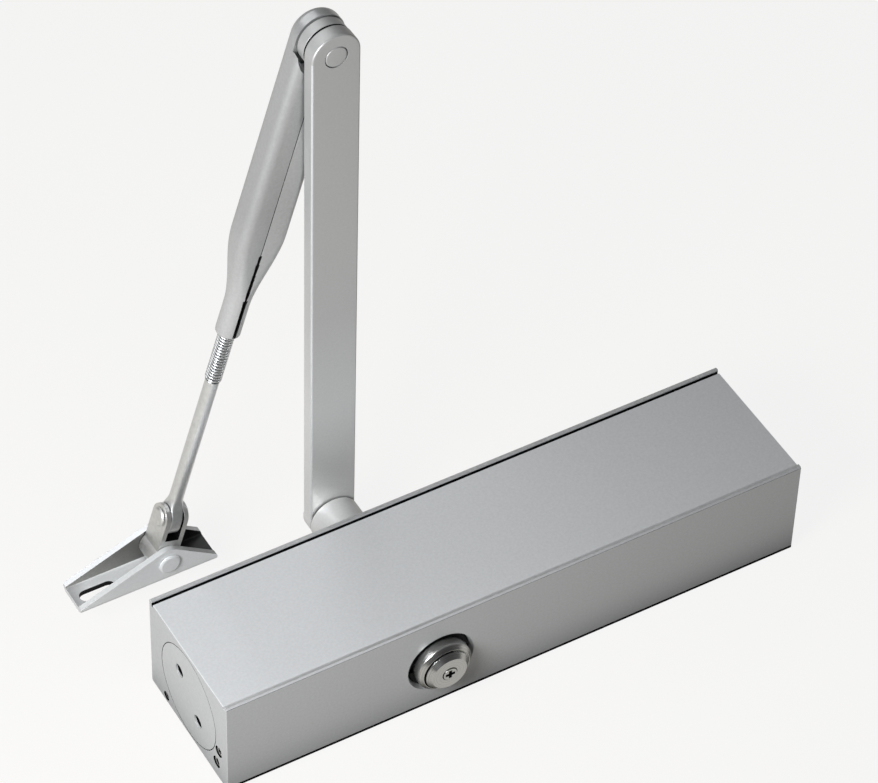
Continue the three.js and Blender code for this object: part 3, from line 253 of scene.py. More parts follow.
# %% [markdown]
# ## Silver lacquer
# The body, both arms and the shoe wear the silver metallic lacquer of door hardware: fine aluminium
# flakes in a clear binder, sprayed on and baked. From a step away it is a pale satin grey with a
# fine mottle, because the flakes lie at slightly different angles. The flakes themselves are too
# fine to show, so the grain is drawn at 0.4 mm and the mottle at 1 mm. Flakes make the finish part
# metal, part paint.

# %% Silver lacquer
def ramp(tree, factor, dark, light, low=0.3, high=0.7):
    node = add(tree, "ValToRGB", {"Fac": factor})
    first, last = node.color_ramp.elements
    first.position, first.color = low, linear(dark)
    last.position, last.color = high, linear(light)
    return node.outputs["Color"]


def noise(tree, place, size_mm, detail=2.0):
    """Noise whose cells are about size_mm wide on an object in metres."""
    node = add(tree, "TexNoise", {"Vector": place, "Scale": 1 / (size_mm * MM), "Detail": detail})
    return node.outputs["Fac"]


def silver_lacquer(name, dark, light, metallic=0.3, roughness=0.42, grain_depth_mm=0.012):
    material, tree = new_material(name)
    place = add(tree, "TexCoord").outputs["Object"]
    mottle = noise(tree, place, 1.0)
    grain = noise(tree, place, 0.4)
    spread = add(tree, "MapRange", {"Value": grain, "To Min": roughness - 0.06,
                                    "To Max": roughness + 0.06})
    bump = add(tree, "Bump", {"Height": grain, "Strength": 0.5, "Distance": grain_depth_mm * MM})
    shader = add(tree, "BsdfPrincipled", {
        "Base Color": ramp(tree, mottle, dark, light),
        "Metallic": metallic,
        "Roughness": spread.outputs["Result"],
        "Coat Weight": 0.12,
        "Coat Roughness": 0.3,
        "Normal": bump.outputs["Normal"]})
    add(tree, "OutputMaterial", {"Surface": shader.outputs[0]})
    return material


housing_lacquer = silver_lacquer("lacquer_on_extrusion", "#CCCDCE", "#D3D4D5")
plug_lacquer = silver_lacquer("lacquer_on_turned_plug", "#CCCECE", "#D4D6D6", roughness=0.4)
arm_lacquer = silver_lacquer("lacquer_on_flat_bar", "#DDDDDC", "#E2E2E1", 0.5, 0.45)
forearm_lacquer = silver_lacquer("lacquer_on_pressed_sheet", "#C6C7C7", "#CFD0D0", 0.6, 0.33)
shoe_lacquer = silver_lacquer("lacquer_on_bent_sheet", "#E4E5E6", "#E9EAEB", 0.3)
# Three lacquers of the shoe carry painted shade: sheared edge, far wall inside and base.
sheared_edge_painted_shade = silver_lacquer("lacquer_on_a_sheared_edge_with_painted_shade", "#CCCDCD", "#D3D4D4", 0.3)
shoe_inside_painted_shade = silver_lacquer("lacquer_inside_the_shoe_with_painted_shade", "#9A9A95", "#A2A29D")
shoe_base_painted_shade = silver_lacquer("lacquer_on_the_shoe_base_with_painted_shade", "#CBCCCC", "#D2D3D3", 0.18)
print("lacquers ready")

# %% [markdown]
# ## Painted shade along a piece
# Some lacquers carry painted shade that follows one axis of the closer. Inside the shoe the far
# wall, the base and the sheared top edge of the near wall darken to the right, and the base also
# darkens at its left end. The arms grow darker towards the knuckle and the body towards its right
# end, more than the lamps alone give.

# %% Lacquer with painted shade along it
def painted_shade_along(material, shares, axis="X"):
    """The colour is multiplied by a share of painted shade along an axis: (place in mm, share)
    pairs joined by straight lines."""
    tree = material.node_tree
    shader = next(node for node in tree.nodes if node.type == "BSDF_PRINCIPLED")
    colour = shader.inputs["Base Color"].links[0].from_socket
    parts = add(tree, "SeparateXYZ", {0: add(tree, "TexCoord").outputs["Object"]})
    x0, x1 = shares[0][0], shares[-1][0]
    along = add(tree, "MapRange", {"Value": parts.outputs[axis], "From Min": x0 * MM,
                                   "From Max": x1 * MM})
    node = add(tree, "ValToRGB", {"Fac": along.outputs["Result"]})
    stops = node.color_ramp.elements
    while len(stops) < len(shares):
        stops.new(0.5)
    for stop, (x, share) in zip(stops, shares):
        stop.position, stop.color = (x - x0) / (x1 - x0), (share, share, share, 1)
    mixed = add(tree, "Mix", {"Factor": 1.0, "A": colour, "B": node.outputs["Color"]},
                data_type="RGBA", blend_type="MULTIPLY")
    tree.links.new(mixed.outputs["Result"], shader.inputs["Base Color"])


painted_shade_along(shoe_inside_painted_shade, [(-140, 1), (-118, 0.55), (-98, 0.1), (-80, 0.06)])
painted_shade_along(shoe_base_painted_shade, [(-138, 0.45), (-130, 0.95), (-108, 1), (-98, 0.04)])
painted_shade_along(sheared_edge_painted_shade, [(-138, 1), (-100, 0.9), (-92, 0.5), (-80, 0.6)])
painted_shade_along(arm_lacquer, [(22, 1), (82, 1), (131, 0.8), (180, 0.74), (254, 0.66)], "Z")
painted_shade_along(forearm_lacquer, [(120, 1), (150, 1), (185, 0.76), (254, 0.78)], "Z")
painted_shade_along(housing_lacquer, [(-122, 0.96), (-90, 1), (10, 1), (60, 0.96), (122, 0.92)])
print("six of them change along their piece")

# %% [markdown]
# ## Bare and plated steel
# The cap on the spindle is turned and polished, so it carries hair-fine rings round its axis. The
# rod, its swivel and the screws are zinc plated, which gives a brighter and slightly cloudy metal.
# Pieces inside the body are machined steel with a film of oil. Grooves, bores, holes and gaps get a
# nearly black steel as painted shade, and the bearing caps wear it as their blackened finish. All
# of these are fully metallic and keep the default IOR.

# %% Steel finishes
def steel(name, dark, light, roughness, cloud_mm=1.5, grain_mm=0.3, depth_mm=0.006):
    material, tree = new_material(name)
    place = add(tree, "TexCoord").outputs["Object"]
    cloud = noise(tree, place, cloud_mm, 3.0)
    grain = noise(tree, place, grain_mm)
    spread = add(tree, "MapRange", {"Value": cloud, "To Min": roughness * 0.8,
                                    "To Max": roughness * 1.2})
    bump = add(tree, "Bump", {"Height": grain, "Strength": 0.4, "Distance": depth_mm * MM})
    shader = add(tree, "BsdfPrincipled", {
        "Base Color": ramp(tree, cloud, dark, light),
        "Metallic": 1.0,
        "Roughness": spread.outputs["Result"],
        "Normal": bump.outputs["Normal"]})
    add(tree, "OutputMaterial", {"Surface": shader.outputs[0]})
    return material


def turned_steel(name, dark, light, roughness, centre_mm, ring_mm=0.25):
    """Steel with rings round the Y axis through centre_mm: noise along the distance from it."""
    material, tree = new_material(name)
    place = add(tree, "TexCoord").outputs["Object"]
    moved = add(tree, "Mapping", {"Vector": place, "Location": [-c * MM for c in centre_mm]})
    parts = add(tree, "SeparateXYZ", {0: moved.outputs[0]})
    flat = add(tree, "CombineXYZ", {"X": parts.outputs["X"], "Y": parts.outputs["Z"]})
    radius = add(tree, "VectorMath", {0: flat.outputs[0]}, operation="LENGTH").outputs["Value"]
    rings = add(tree, "TexNoise", {"W": radius, "Scale": 1 / (ring_mm * MM), "Detail": 2.0},
                noise_dimensions="1D").outputs["Fac"]
    bump = add(tree, "Bump", {"Height": rings, "Strength": 0.5, "Distance": 0.004 * MM})
    shader = add(tree, "BsdfPrincipled", {
        "Base Color": ramp(tree, rings, dark, light),
        "Metallic": 1.0,
        "Roughness": roughness,
        "Normal": bump.outputs["Normal"]})
    add(tree, "OutputMaterial", {"Surface": shader.outputs[0]})
    return material


AXIS_Z = 22.0
SPINDLE = np.array([-33.7, 0.0, AXIS_Z])
zinc_plate = steel("zinc_plate", "#E6E8E9", "#F2F3F3", 0.36)
swivel_steel = steel("worn_zinc_plate", "#E0E0DE", "#ECECEA", 0.46)
cap_steel = turned_steel("polished_turned_steel", "#B9B9B7", "#D0D0CE", 0.26, SPINDLE)
machined_steel = steel("oiled_machined_steel", "#85878A", "#9A9C9F", 0.35)
spring_steel = steel("oil_tempered_wire", "#55585C", "#6B6E72", 0.4)
# Nearly black steel: painted shade in grooves, bores, holes and gaps, and the bearing caps' finish.
black_steel_and_painted_shade = steel("blackened_steel_and_painted_shade", "#1B1B1C", "#2A2A2B", 0.6)
# A greyer metal for the lip tops: painted shade, so that they look darker than the top face.
greyer_lip_metal = steel("greyer_lip_metal_with_painted_shade", "#D2D3D3", "#DCDDDD", 0.5)
# A dark line under the near lip: painted shade at its rounded edge.
painted_shade_line = steel("painted_shade_line_under_the_lip", "#5C5D5C", "#6A6B6A", 0.55)
print("steels ready")

# %% [markdown]
# ## Rubber
# Seals and sealing rings are nitrile rubber: nearly black, matt and very slightly uneven. With it
# every finish is there, and a table joins each one to the name that the frame gives it.

# %% Nitrile rubber
nitrile, tree = new_material("nitrile_rubber")
place = add(tree, "TexCoord").outputs["Object"]
skin = noise(tree, place, 0.5)
bump = add(tree, "Bump", {"Height": skin, "Strength": 0.4, "Distance": 0.02 * MM})
shader = add(tree, "BsdfPrincipled", {"Base Color": ramp(tree, skin, "#161617", "#202021"),
                                      "Roughness": 0.7, "Normal": bump.outputs["Normal"]})
add(tree, "OutputMaterial", {"Surface": shader.outputs[0]})

FINISH = {
    "housing_lacquer": housing_lacquer, "plug_lacquer": plug_lacquer, "arm_lacquer": arm_lacquer,
    "forearm_lacquer": forearm_lacquer, "shoe_lacquer": shoe_lacquer, "zinc_plate": zinc_plate,
    "swivel_steel": swivel_steel, "cap_steel": cap_steel, "machined_steel": machined_steel,
    "spring_steel": spring_steel, "nitrile": nitrile,
}
print(len(FINISH), "finishes")

# %% [markdown]
# ## Surfaces from arrays
# Most pieces of a closer are turned, drawn or cut from bar, so three kinds of surface are enough. A
# solid is a row of closed rings joined by quads. A turned solid carries a profile round an axis. A
# plate moves an outline inwards along its own normals to round its edges. Each is worked out as one
# array of points.

# %% Solids from rings
NEARLY_STRAIGHT, HELD_SHARE = 1.56, 1.4


def at(*place_mm):
    """A frame of reference: directions that aren't turned, and an origin."""
    return np.eye(3), np.array(place_mm, float)


def solid(name, rings, wrap=False, frame_of=at(0, 0, 0)):
    """rings holds points in mm as [ring, place in ring, xyz]. A point p goes to turn p + origin."""
    rings = np.asarray(rings, float)
    count, around = rings.shape[:2]
    index = np.arange(count * around).reshape(count, around)
    rows = np.vstack([index, index[:1]]) if wrap else index
    a, b = rows[:-1], rows[1:]
    faces = np.stack([a, np.roll(a, -1, 1), np.roll(b, -1, 1), b], -1).reshape(-1, 4).tolist()
    if not wrap:
        faces += [index[0][::-1].tolist(), index[-1].tolist()]
    points = (rings.reshape(-1, 3) @ frame_of[0].T + frame_of[1]) * MM
    mesh = bpy.data.meshes.new(name)
    mesh.from_pydata(points, [], faces)
    piece = bpy.data.objects.new(name, mesh)
    bpy.context.scene.collection.objects.link(piece)
    work = bmesh.new()
    work.from_mesh(mesh)
    bmesh.ops.recalc_face_normals(work, faces=work.faces)
    work.to_mesh(mesh)
    work.free()
    return piece


def turned(name, profile, axis="y", sides=96, wrap=False, frame_of=at(0, 0, 0)):
    """Of a profile's (radius, station) pairs: across = radius cos t and radius sin t, along =
    station."""
    radius, station = np.asarray(profile, float).T
    t = np.linspace(0, 2 * np.pi, sides, endpoint=False)
    u, v = radius[:, None] * np.cos(t), radius[:, None] * np.sin(t)
    w = np.repeat(station[:, None], sides, 1)
    order = {"x": (w, u, v), "y": (u, w, v), "z": (u, v, w)}[axis]
    return solid(name, np.stack(order, -1), wrap, frame_of)


def rounded(corners, radii, steps=6):
    """Each inner corner gives way to an arc that touches both of its sides. The arc's centre is on
    the bisector, at radius / sin(half the angle)."""
    corners = np.asarray(corners, float)
    path = [corners[0]]
    for before, here, after, radius in zip(corners, corners[1:], corners[2:], radii):
        p = (before - here) / np.linalg.norm(before - here)
        q = (after - here) / np.linalg.norm(after - here)
        half = np.arccos(np.clip(p @ q, -1, 1)) / 2
        if radius <= 0 or half > NEARLY_STRAIGHT:
            path.append(here)
            continue
        reach = radius / np.tan(half)
        middle = here + (p + q) / np.linalg.norm(p + q) * radius / np.sin(half)
        start, end = here + p * reach - middle, here + q * reach - middle
        sweep = np.pi - 2 * half
        t = np.linspace(0, 1, steps + 1)[:, None]
        arc = np.sin((1 - t) * sweep) * start + np.sin(t * sweep) * end
        path.extend(middle + arc / np.sin(sweep))
    path.append(corners[-1])
    return np.array(path)


def plate(name, outline, y0, y1, edge, steps=5, frame_of=at(0, 0, 0)):
    """Rings of an anticlockwise outline in x and z. Along the quarter turn t an edge ring is moved
    inwards by edge (1 - sin t) and lies edge (1 - cos t) above the face. The first and last ring
    hold the flat faces flat."""
    tangent = np.roll(outline, -1, 0) - np.roll(outline, 1, 0)
    normal = np.stack([tangent[:, 1], -tangent[:, 0]], 1)
    normal /= np.linalg.norm(normal, axis=1)[:, None]
    t = np.linspace(0, np.pi / 2, steps + 1)
    inset, rise = edge * (1 - np.sin(t)), edge * (1 - np.cos(t))
    held = edge * HELD_SHARE
    inset = np.concatenate([[held], inset, inset[::-1], [held]])
    station = np.concatenate([[y0], y0 + rise, y1 - rise[::-1], [y1]])
    flat = outline[None] - normal[None] * inset[:, None, None]
    y = np.broadcast_to(station[:, None], flat.shape[:2])
    return solid(name, np.stack([flat[..., 0], y, flat[..., 1]], -1), frame_of=frame_of)


# %% [markdown]
# ## Cutting and dressing
# Holes are cut with exact booleans, whose result is kept as the mesh so that no cutter stays
# behind. A piece that the frame already has in the right shape is copied, merged and finished. Then
# a piece can get a narrow bevel, because no real edge is sharp and it is the bevel that catches the
# light. Weighted normals keep the flat faces flat. Last, it rides its body and stands for its node
# in the frame.

# %% Cut
MERGE_DISTANCE, FLAT_ANGLE = 2e-6, 0.01


def baked(piece):
    """The piece with its modifiers applied."""
    bpy.context.view_layer.update()
    seen = piece.evaluated_get(bpy.context.evaluated_depsgraph_get())
    mesh = bpy.data.meshes.new_from_object(seen)
    piece.modifiers.clear()
    piece.data = mesh
    return piece


def carve(piece, *tools, operation="DIFFERENCE"):
    """Cuts each tool out of the piece, or joins it on, and then removes the tools."""
    for tool in tools:
        cut = piece.modifiers.new("cut", "BOOLEAN")
        cut.operation, cut.solver, cut.object = operation, "EXACT", tool
    baked(piece)
    for tool in tools:
        bpy.data.objects.remove(tool)
    return piece


def finer_copy(node, name):
    """A copy of a node's mesh with its loose triangles merged and its flat faces made whole."""
    mesh = frame["nodes"][node].data.copy()
    work = bmesh.new()
    work.from_mesh(mesh)
    bmesh.ops.remove_doubles(work, verts=work.verts, dist=MERGE_DISTANCE)
    bmesh.ops.dissolve_limit(work, angle_limit=FLAT_ANGLE, verts=work.verts, edges=work.edges)
    work.to_mesh(mesh)
    work.free()
    mesh.materials.clear()
    piece = bpy.data.objects.new(name, mesh)
    bpy.context.scene.collection.objects.link(piece)
    return piece


def cross_cut(piece, axis, station_mm):
    """Adds edges where the plane axis = station crosses the piece, so that a finish can end
    there."""
    direction = Vector([float(axis == letter) for letter in "xyz"])
    work = bmesh.new()
    work.from_mesh(piece.data)
    bmesh.ops.bisect_plane(work, geom=[*work.verts, *work.edges, *work.faces],
                           plane_co=direction * station_mm * MM, plane_no=direction)
    work.to_mesh(piece.data)
    work.free()
    return piece


# %% Dress
NODE_SLOT = {s["node"]: s["material_slot"] for s in frame["record"]["subparts"]}
NODE_BODY = {n: body for body, nodes in frame["record"]["behaviour"]["bodies"].items()
             for n in nodes}


def dress(piece, node, edge_mm=0.0, segments=2, sharp_degrees=30):
    """Breaks edges sharper than sharp_degrees by edge_mm, if that is given, and puts the piece in
    its node's place."""
    if edge_mm:
        bevel = piece.modifiers.new("edge", "BEVEL")
        bevel.width, bevel.segments = edge_mm * MM, segments
        bevel.limit_method, bevel.angle_limit = "ANGLE", np.radians(sharp_degrees)
        bevel.miter_outer = "MITER_ARC"
    piece.data.shade_smooth()
    piece.data.set_sharp_from_angle(angle=np.radians(60 if edge_mm else sharp_degrees))
    weigh = piece.modifiers.new("flat faces", "WEIGHTED_NORMAL")
    weigh.keep_sharp = True
    piece.data.materials.clear()
    piece.data.materials.append(FINISH[NODE_SLOT[node]])
    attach(piece, NODE_BODY[node])
    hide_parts(node)
    print(piece.name, len(piece.data.polygons), "faces, for", node)
    return piece


# %% [markdown]
# ## A second finish on some faces
# Shade in grooves, bores and gaps is painted on with a nearly black finish, and some narrow strips
# get painted highlight or painted shade. A piece can carry several finishes, and each face says
# which one it wears. The faces are picked by the place of their middle.

# %% Faces by place
def centres(piece):
    """The middle of every face in mm."""
    flat = np.empty(3 * len(piece.data.polygons))
    piece.data.polygons.foreach_get("center", flat)
    return flat.reshape(-1, 3).T / MM


def seen_from(piece, frame_of):
    """The same, in the directions and from the origin of a tilted frame."""
    return frame_of[0].T @ (centres(piece) - frame_of[1][:, None])


def between(value, low, high):
    return (value > low) & (value < high)


def paint(piece, *coats):
    """Each coat is a finish and a test of the faces that wear it. A later coat covers an earlier
    one, and faces without a coat keep the piece's own finish."""
    index = np.zeros(len(piece.data.polygons), np.int32)
    for finish, where in coats:
        piece.data.materials.append(finish)
        index[where] = len(piece.data.materials) - 1
    piece.data.polygons.foreach_set("material_index", index)
    piece.data.update()
    print(piece.name, np.count_nonzero(index), "faces with another finish")


# %% [markdown]
# ## Body
# The body is a rectangular aluminium extrusion, bored through from end to end. Its top face lies a
# little below two lips, with a narrow groove at the foot of the far one, painted black as shade.
# The frame has the right shape, so a merged copy of it only needs a cone at the rim of the cap's
# recess and broken edges. The lip tops are painted greyer as shade, and the recess and bores black
# as shade.
# Cross cuts set off narrow strips that get their own finish: a painted shadow along the foot where
# the near side meets the paper, a painted dark line under the near lip, and two painted highlights
# along edges at the left end.

# %% Body
END_SCREWS = [(-23.2, 15.2), (-21.4, 7.4), (18.4, 2.8)]
RECESS_RADIUS, BORE_RADIUS, END_SCREW_RADIUS = 13.05, 21.45, 2.7
GROOVE_BACK, GROOVE_FRONT = 28.25, 27.25
FOOT_TOP, LINE_BOTTOM = 1.9, 45.2
END_STRIP, SIDE_STRIP = -122.1, -29.65
INNER_END = 122.3

spindle_frame = at(*SPINDLE)
body = finer_copy("housing", "closer_body")
rim = turned("rim", [(0.5, -31), (14.3, -31), (13.0, -27.6), (0.5, -27.6)], sides=144,
             frame_of=spindle_frame)
for axis, station in (("z", FOOT_TOP), ("z", LINE_BOTTOM), ("x", END_STRIP), ("y", SIDE_STRIP)):
    cross_cut(body, axis, station)
carve(body, rim)
dress(body, "housing", 0.3)

# %% Finishes of the body
def from_axis(across, up, axis_across=0.0, axis_up=AXIS_Z):
    """The distance from an axis: the root of the sum of both squares."""
    return np.hypot(across - axis_across, up - axis_up)


x, y, z = centres(body)
in_groove = between(y, GROOVE_FRONT, GROOVE_BACK) & between(z, 43.4, LINE_BOTTOM)
in_recess = (from_axis(x, z, SPINDLE[0]) < RECESS_RADIUS) & between(abs(y), 20, 27.6)
in_bore = from_axis(y, z) < BORE_RADIUS
for screw_axis in END_SCREWS:
    in_bore |= from_axis(y, z, *screw_axis) < END_SCREW_RADIUS
in_bore &= abs(x) < INNER_END
foot = (y < -29.2) & between(z, 0.1, FOOT_TOP)
on_lip = (abs(y) > GROOVE_BACK) & (z > 45.9)
under_lip = (y < -29.9) & between(z, LINE_BOTTOM, 45.99)
left_top_highlight = (x < END_STRIP) & between(z, 44.7, 44.9) & (abs(y) < 28)
left_corner_highlight = (x < -122.4) & (y < SIDE_STRIP)
# Painted shade: black in the groove, recess and bores and along the foot (a painted shadow), greyer
# on the lip tops, a dark line under the near lip. Painted highlight: pale strips at the left end.
paint(body, (black_steel_and_painted_shade, in_groove | in_recess | in_bore | foot), (greyer_lip_metal, on_lip),
      (shoe_lacquer, left_top_highlight | left_corner_highlight), (painted_shade_line, under_lip))

# %% [markdown]
# ## End plugs and valve screws
# The plugs close the bore flush with the end faces and have two blind holes for a pin spanner.
# Three small screws sit in the left end face. The frame holds them all, and only the spanner holes
# are cut deeper, so that they look black. Their walls, the joint round each plug and the drives of
# the screws are painted black as shade.

# %% End plugs and valve screws
HOLE_RADIUS, HOLE_REACH, HOLE_ANGLE = 2.74, 10, np.radians(46)
HOLE_START, HOLE_FLOOR, DARK_FROM = 121.2, 113, 121.8

for side, name, node in ((-1, "left_plug", "end_plug_left"), (1, "right_plug", "end_plug_right")):
    drill = [(HOLE_RADIUS, side * HOLE_START), (HOLE_RADIUS, side * HOLE_FLOOR)]
    holes = [turned("hole", drill, "x", 48, frame_of=at(
        0, way * HOLE_REACH * np.cos(HOLE_ANGLE), AXIS_Z + way * HOLE_REACH * np.sin(HOLE_ANGLE)))
        for way in (-1, 1)]
    plug = cross_cut(carve(finer_copy(node, name), *holes), "x", side * DARK_FROM)
    dress(plug, node, 0.12)
    x, y, z = centres(plug)
    in_hole = between(abs(x), 112, DARK_FROM) & (from_axis(y, z) < 15)
    # Painted shade: the walls of the spanner holes and the joint round the plug are black.
    paint(plug, (black_steel_and_painted_shade, in_hole | (from_axis(y, z) > 20.5) & (abs(x) < INNER_END)))
nodes = ("sweep_valve_screw", "latch_valve_screw", "plug_locking_screw")
for node, screw_axis in zip(nodes, END_SCREWS):
    small = dress(finer_copy(node, node + "_fine"), node, 0.08)
    x, y, z = centres(small)
    in_drive = between(x, -121.95, -118) & (from_axis(y, z, *screw_axis) < 1.4)
    # Painted shade: the screw's drive is black.
    paint(small, (black_steel_and_painted_shade, in_drive))

# %% [markdown]
# ## Cap on the spindle
# The free end of the spindle is covered by a turned cap: a short rim, a cone and a flat face with a
# small screw in it. The cap is a profile carried round the spindle, and its socket is a square
# hole. A fine groove runs round the flat face. It is painted black as shade, but for its right
# side, which is left bright where the light falls on it.

# %% Cap on the spindle
SQUARE = 10.6


def square_bar(name, flats, y0, y1, frame_of):
    """A bar along y whose square section measures flats across."""
    h = flats / 2
    points = [[[-h, y, -h], [h, y, -h], [h, y, h], [-h, y, h]] for y in (y0, y1)]
    return solid(name, points, frame_of=frame_of)


cap_profile = rounded(
    [(5, -36.7), (7.2, -36.7), (9, -34.8), (9, -33.6), (9.5, -33.6), (9.5, -34.5), (11.3, -32.8),
     (11.3, -28.8), (5, -28.8)], (0.4, 0.1, 0, 0, 0.15, 1.2, 0.3))
cap = turned("cap", cap_profile, sides=128, frame_of=spindle_frame)
seat = turned("seat", [(3.1, -38), (3.1, -35.1)], sides=64, frame_of=spindle_frame)
shank = turned("shank", [(1.8, -38), (1.8, -28)], sides=48, frame_of=spindle_frame)
socket = square_bar("socket", SQUARE, -33.5, -28, spindle_frame)
dress(carve(cap, seat, shank, socket), "spindle_cap", 0.1)
x, y, z = centres(cap)
in_groove = between(from_axis(x, z, SPINDLE[0]), 8.9, 9.55) & between(y, -34.4, -33.5)
# Painted shade in the groove, on all but its right side.
paint(cap, (black_steel_and_painted_shade, in_groove & (x < -31)))

# %% Screw in the cap
screw_profile = rounded(
    [(0.6, -37.0), (2.8, -37.0), (2.8, -35.4), (1.5, -35.4), (1.5, -25.4), (0.6, -25.4)],
    (0.12, 0.1, 0, 0.2))
screw = turned("screw_in_cap", screw_profile, sides=64, frame_of=spindle_frame)
cross = []
for long, wide in ((2.1, 0.7), (0.7, 2.1)):
    corners = np.array([[-long, -wide], [long, -wide], [long, wide], [-long, wide]])
    depth = [[[x, y, z] for x, z in corners * share] for y, share in ((-38, 1.05), (-35.9, 0.8))]
    cross.append(solid("cross", depth, frame_of=spindle_frame))
screw = dress(carve(screw, *cross), "cap_screw", 0.06)
screw.data.materials[0] = cap_steel
x, y, z = centres(screw)
# Painted shade in the screw's cross recess.
paint(screw, (black_steel_and_painted_shade, between(y, -36.9, -35.5) & (from_axis(x, z, SPINDLE[0]) < 2.4)))

# %% [markdown]
# ## Collar and main arm
# A round collar holds the flat main arm clear of the body. The arm is bar stock with a round boss
# at the spindle and a round end at the knuckle. Its edges are rounded by 0.7 mm, and the one at the
# front left wears the body's lacquer as a painted highlight, a bright line up the arm. The rivet's
# head is let into the face at the knuckle. The collar's end against the arm is painted black as
# the shade in the gap.

# %% Collar
collar_profile = rounded(
    [(7.2, 41), (7.2, 30.6), (10, 30.6), (10, 51.7), (7.2, 51.7), (7.2, 41.2)],
    (0.2, 0.4, 0.4, 0.2))
collar = dress(turned("collar", collar_profile, wrap=True, sides=128, frame_of=spindle_frame),
               "arm_hub")
x, y, z = centres(collar)
# Painted shade: the collar's end face, in the gap against the arm, is black.
paint(collar, (black_steel_and_painted_shade, y > 51.35))

# %% Main arm
ARM_CENTRES = 232.1
RIVET_HOLE = 3.3


def arm_outline(boss=9.8, half=9.5, steps=48):
    """Two arcs joined by straight sides: the round end, then the boss from side to side."""
    meet = np.arcsin(half / boss)
    end = np.linspace(0, np.pi, steps)
    round_end = np.stack([half * np.cos(end), ARM_CENTRES + half * np.sin(end)], 1)
    way = np.linspace(np.pi / 2 + meet, 2.5 * np.pi - meet, 2 * steps)
    round_boss = np.stack([boss * np.cos(way), boss * np.sin(way)], 1)
    return np.concatenate([round_end, round_boss])


arm = plate("bar_arm", arm_outline(), 52, 58, 0.7, frame_of=spindle_frame)
knuckle_frame = at(*SPINDLE + (0, 0, ARM_CENTRES))
arm_cuts = [
    square_bar("square", SQUARE, 50, 60, spindle_frame),
    turned("shank", [(RIVET_HOLE, 50), (RIVET_HOLE, 60)], sides=64, frame_of=knuckle_frame),
    turned("head", [(4.5, 50), (4.5, 53.9)], sides=96, frame_of=knuckle_frame),
]
dress(carve(arm, *arm_cuts), "main_arm", sharp_degrees=35)
x, y, z = centres(arm)
# Painted highlight: the front left edge wears the body's lacquer, which looks brighter there.
paint(arm, (housing_lacquer, (x < -42.4) & between(y, 52.02, 52.75) & between(z, 30, 250)))

# %% Screw and washer of the arm
washer_profile = rounded([(3.3, 59), (3.3, 58.3), (8, 58.3), (8, 59.9), (3.3, 59.9), (3.3, 59.2)],
                         (0.1, 0.3, 0.3, 0.1))
dress(turned("washer", washer_profile, wrap=True, frame_of=spindle_frame), "arm_washer")
dress(finer_copy("arm_screw", "screw_in_arm"), "arm_screw", 0.35, 3)

# %% [markdown]
# ## Knuckle
# One rivet joins both arms, with a loose disc between them that keeps their faces apart. The
# rivet's head is flush with the main arm and its tail is spread on the far side. Both edges of the
# disc are painted dark as the shade in the two gaps.

# %% Knuckle
disc_profile = rounded(
    [(RIVET_HOLE, 61), (RIVET_HOLE, 58.3), (9.3, 58.3), (9.3, 63.3), (RIVET_HOLE, 63.3),
     (RIVET_HOLE, 61.2)], (0.2, 0.7, 0.7, 0.2))
disc = dress(turned("knuckle_disc", disc_profile, wrap=True, sides=128, frame_of=knuckle_frame),
             "knuckle_spacer")
x, y, z = centres(disc)
# Painted shade in the gaps at both edges of the disc.
paint(disc, (black_steel_and_painted_shade, (y < 58.62) | (y > 62.98)))
rivet_profile = rounded(
    [(0.8, 52), (4.2, 52), (4.2, 53.6), (3, 53.6), (3, 70.4), (5, 70.4), (5, 70.9), (3.4, 71.8),
     (0.8, 71.8)], (0.5, 0.1, 0.1, 0, 0.15, 0.3, 0.4))
dress(turned("rivet", rivet_profile, frame_of=knuckle_frame), "knuckle_rivet")

# %% [markdown]
# ## Forearm
# The forearm is pressed from sheet: folded round into a flat tube whose two edges meet in a seam
# down the front, and drawn in to a round neck where the rod screws in. The fold leaves the front
# face slightly hollow towards the seam, which gives the long soft light and dark bands. The surface
# is a rounded rectangle whose width, depth and corner ease from one size to the other along it. The
# seam is a hair wide on the flat part and opens towards the neck, and its walls are painted black
# as shade.

# %% Forearm sections
LEAN = np.radians(16.5)
TILT = np.array([[np.cos(LEAN), 0, np.sin(LEAN)], [0, 1, 0], [-np.sin(LEAN), 0, np.cos(LEAN)]])
FOREARM_Y = 64.35
forearm_frame = (TILT, SPINDLE + (0, FOREARM_Y, ARM_CENTRES))
# Width, depth and corner of the flat part and of the neck, and where one gives way to the other.
FLAT_PART, NECK = np.array([19.4, 11.5, 3.5]), np.array([9.4, 9.4, 4.7])
EASE_START, EASE_END = 84, 118


def box_ring(width, depth, corner, z, dip=0.0):
    """A rounded rectangle in x and y. The front side, at -y, is let in by dip (1 - |share|)
    squared, where share runs from -1 to 1 across it."""
    w, d = width / 2, depth / 2
    c = min(corner, 0.98 * w, 0.98 * d)
    share = np.linspace(-1, 1, 33)
    t = np.linspace(0, np.pi / 2, 12)
    side = np.linspace(-1, 1, 7)[1:-1]
    front = np.stack([share * (w - c), -d + dip * (1 - abs(share)) ** 2], 1)[:-1]
    arcs = [np.stack([c * np.cos(t + q * np.pi / 2), c * np.sin(t + q * np.pi / 2)], 1)
            for q in (-1, 0, 1, 2)]
    right = np.stack([np.full(5, w), side * (d - c)], 1)
    back = np.stack([-side * (w - c), np.full(5, d)], 1)
    left = np.stack([np.full(5, -w), -side * (d - c)], 1)
    corners = ((w - c, c - d), (w - c, d - c), (c - w, d - c), (c - w, c - d))
    arcs = [arc + centre for arc, centre in zip(arcs, corners)]
    ring = np.concatenate([front, arcs[0], right, arcs[1], back, arcs[2], left, arcs[3][:-1]])
    return np.concatenate([ring, np.full((len(ring), 1), z)], 1)


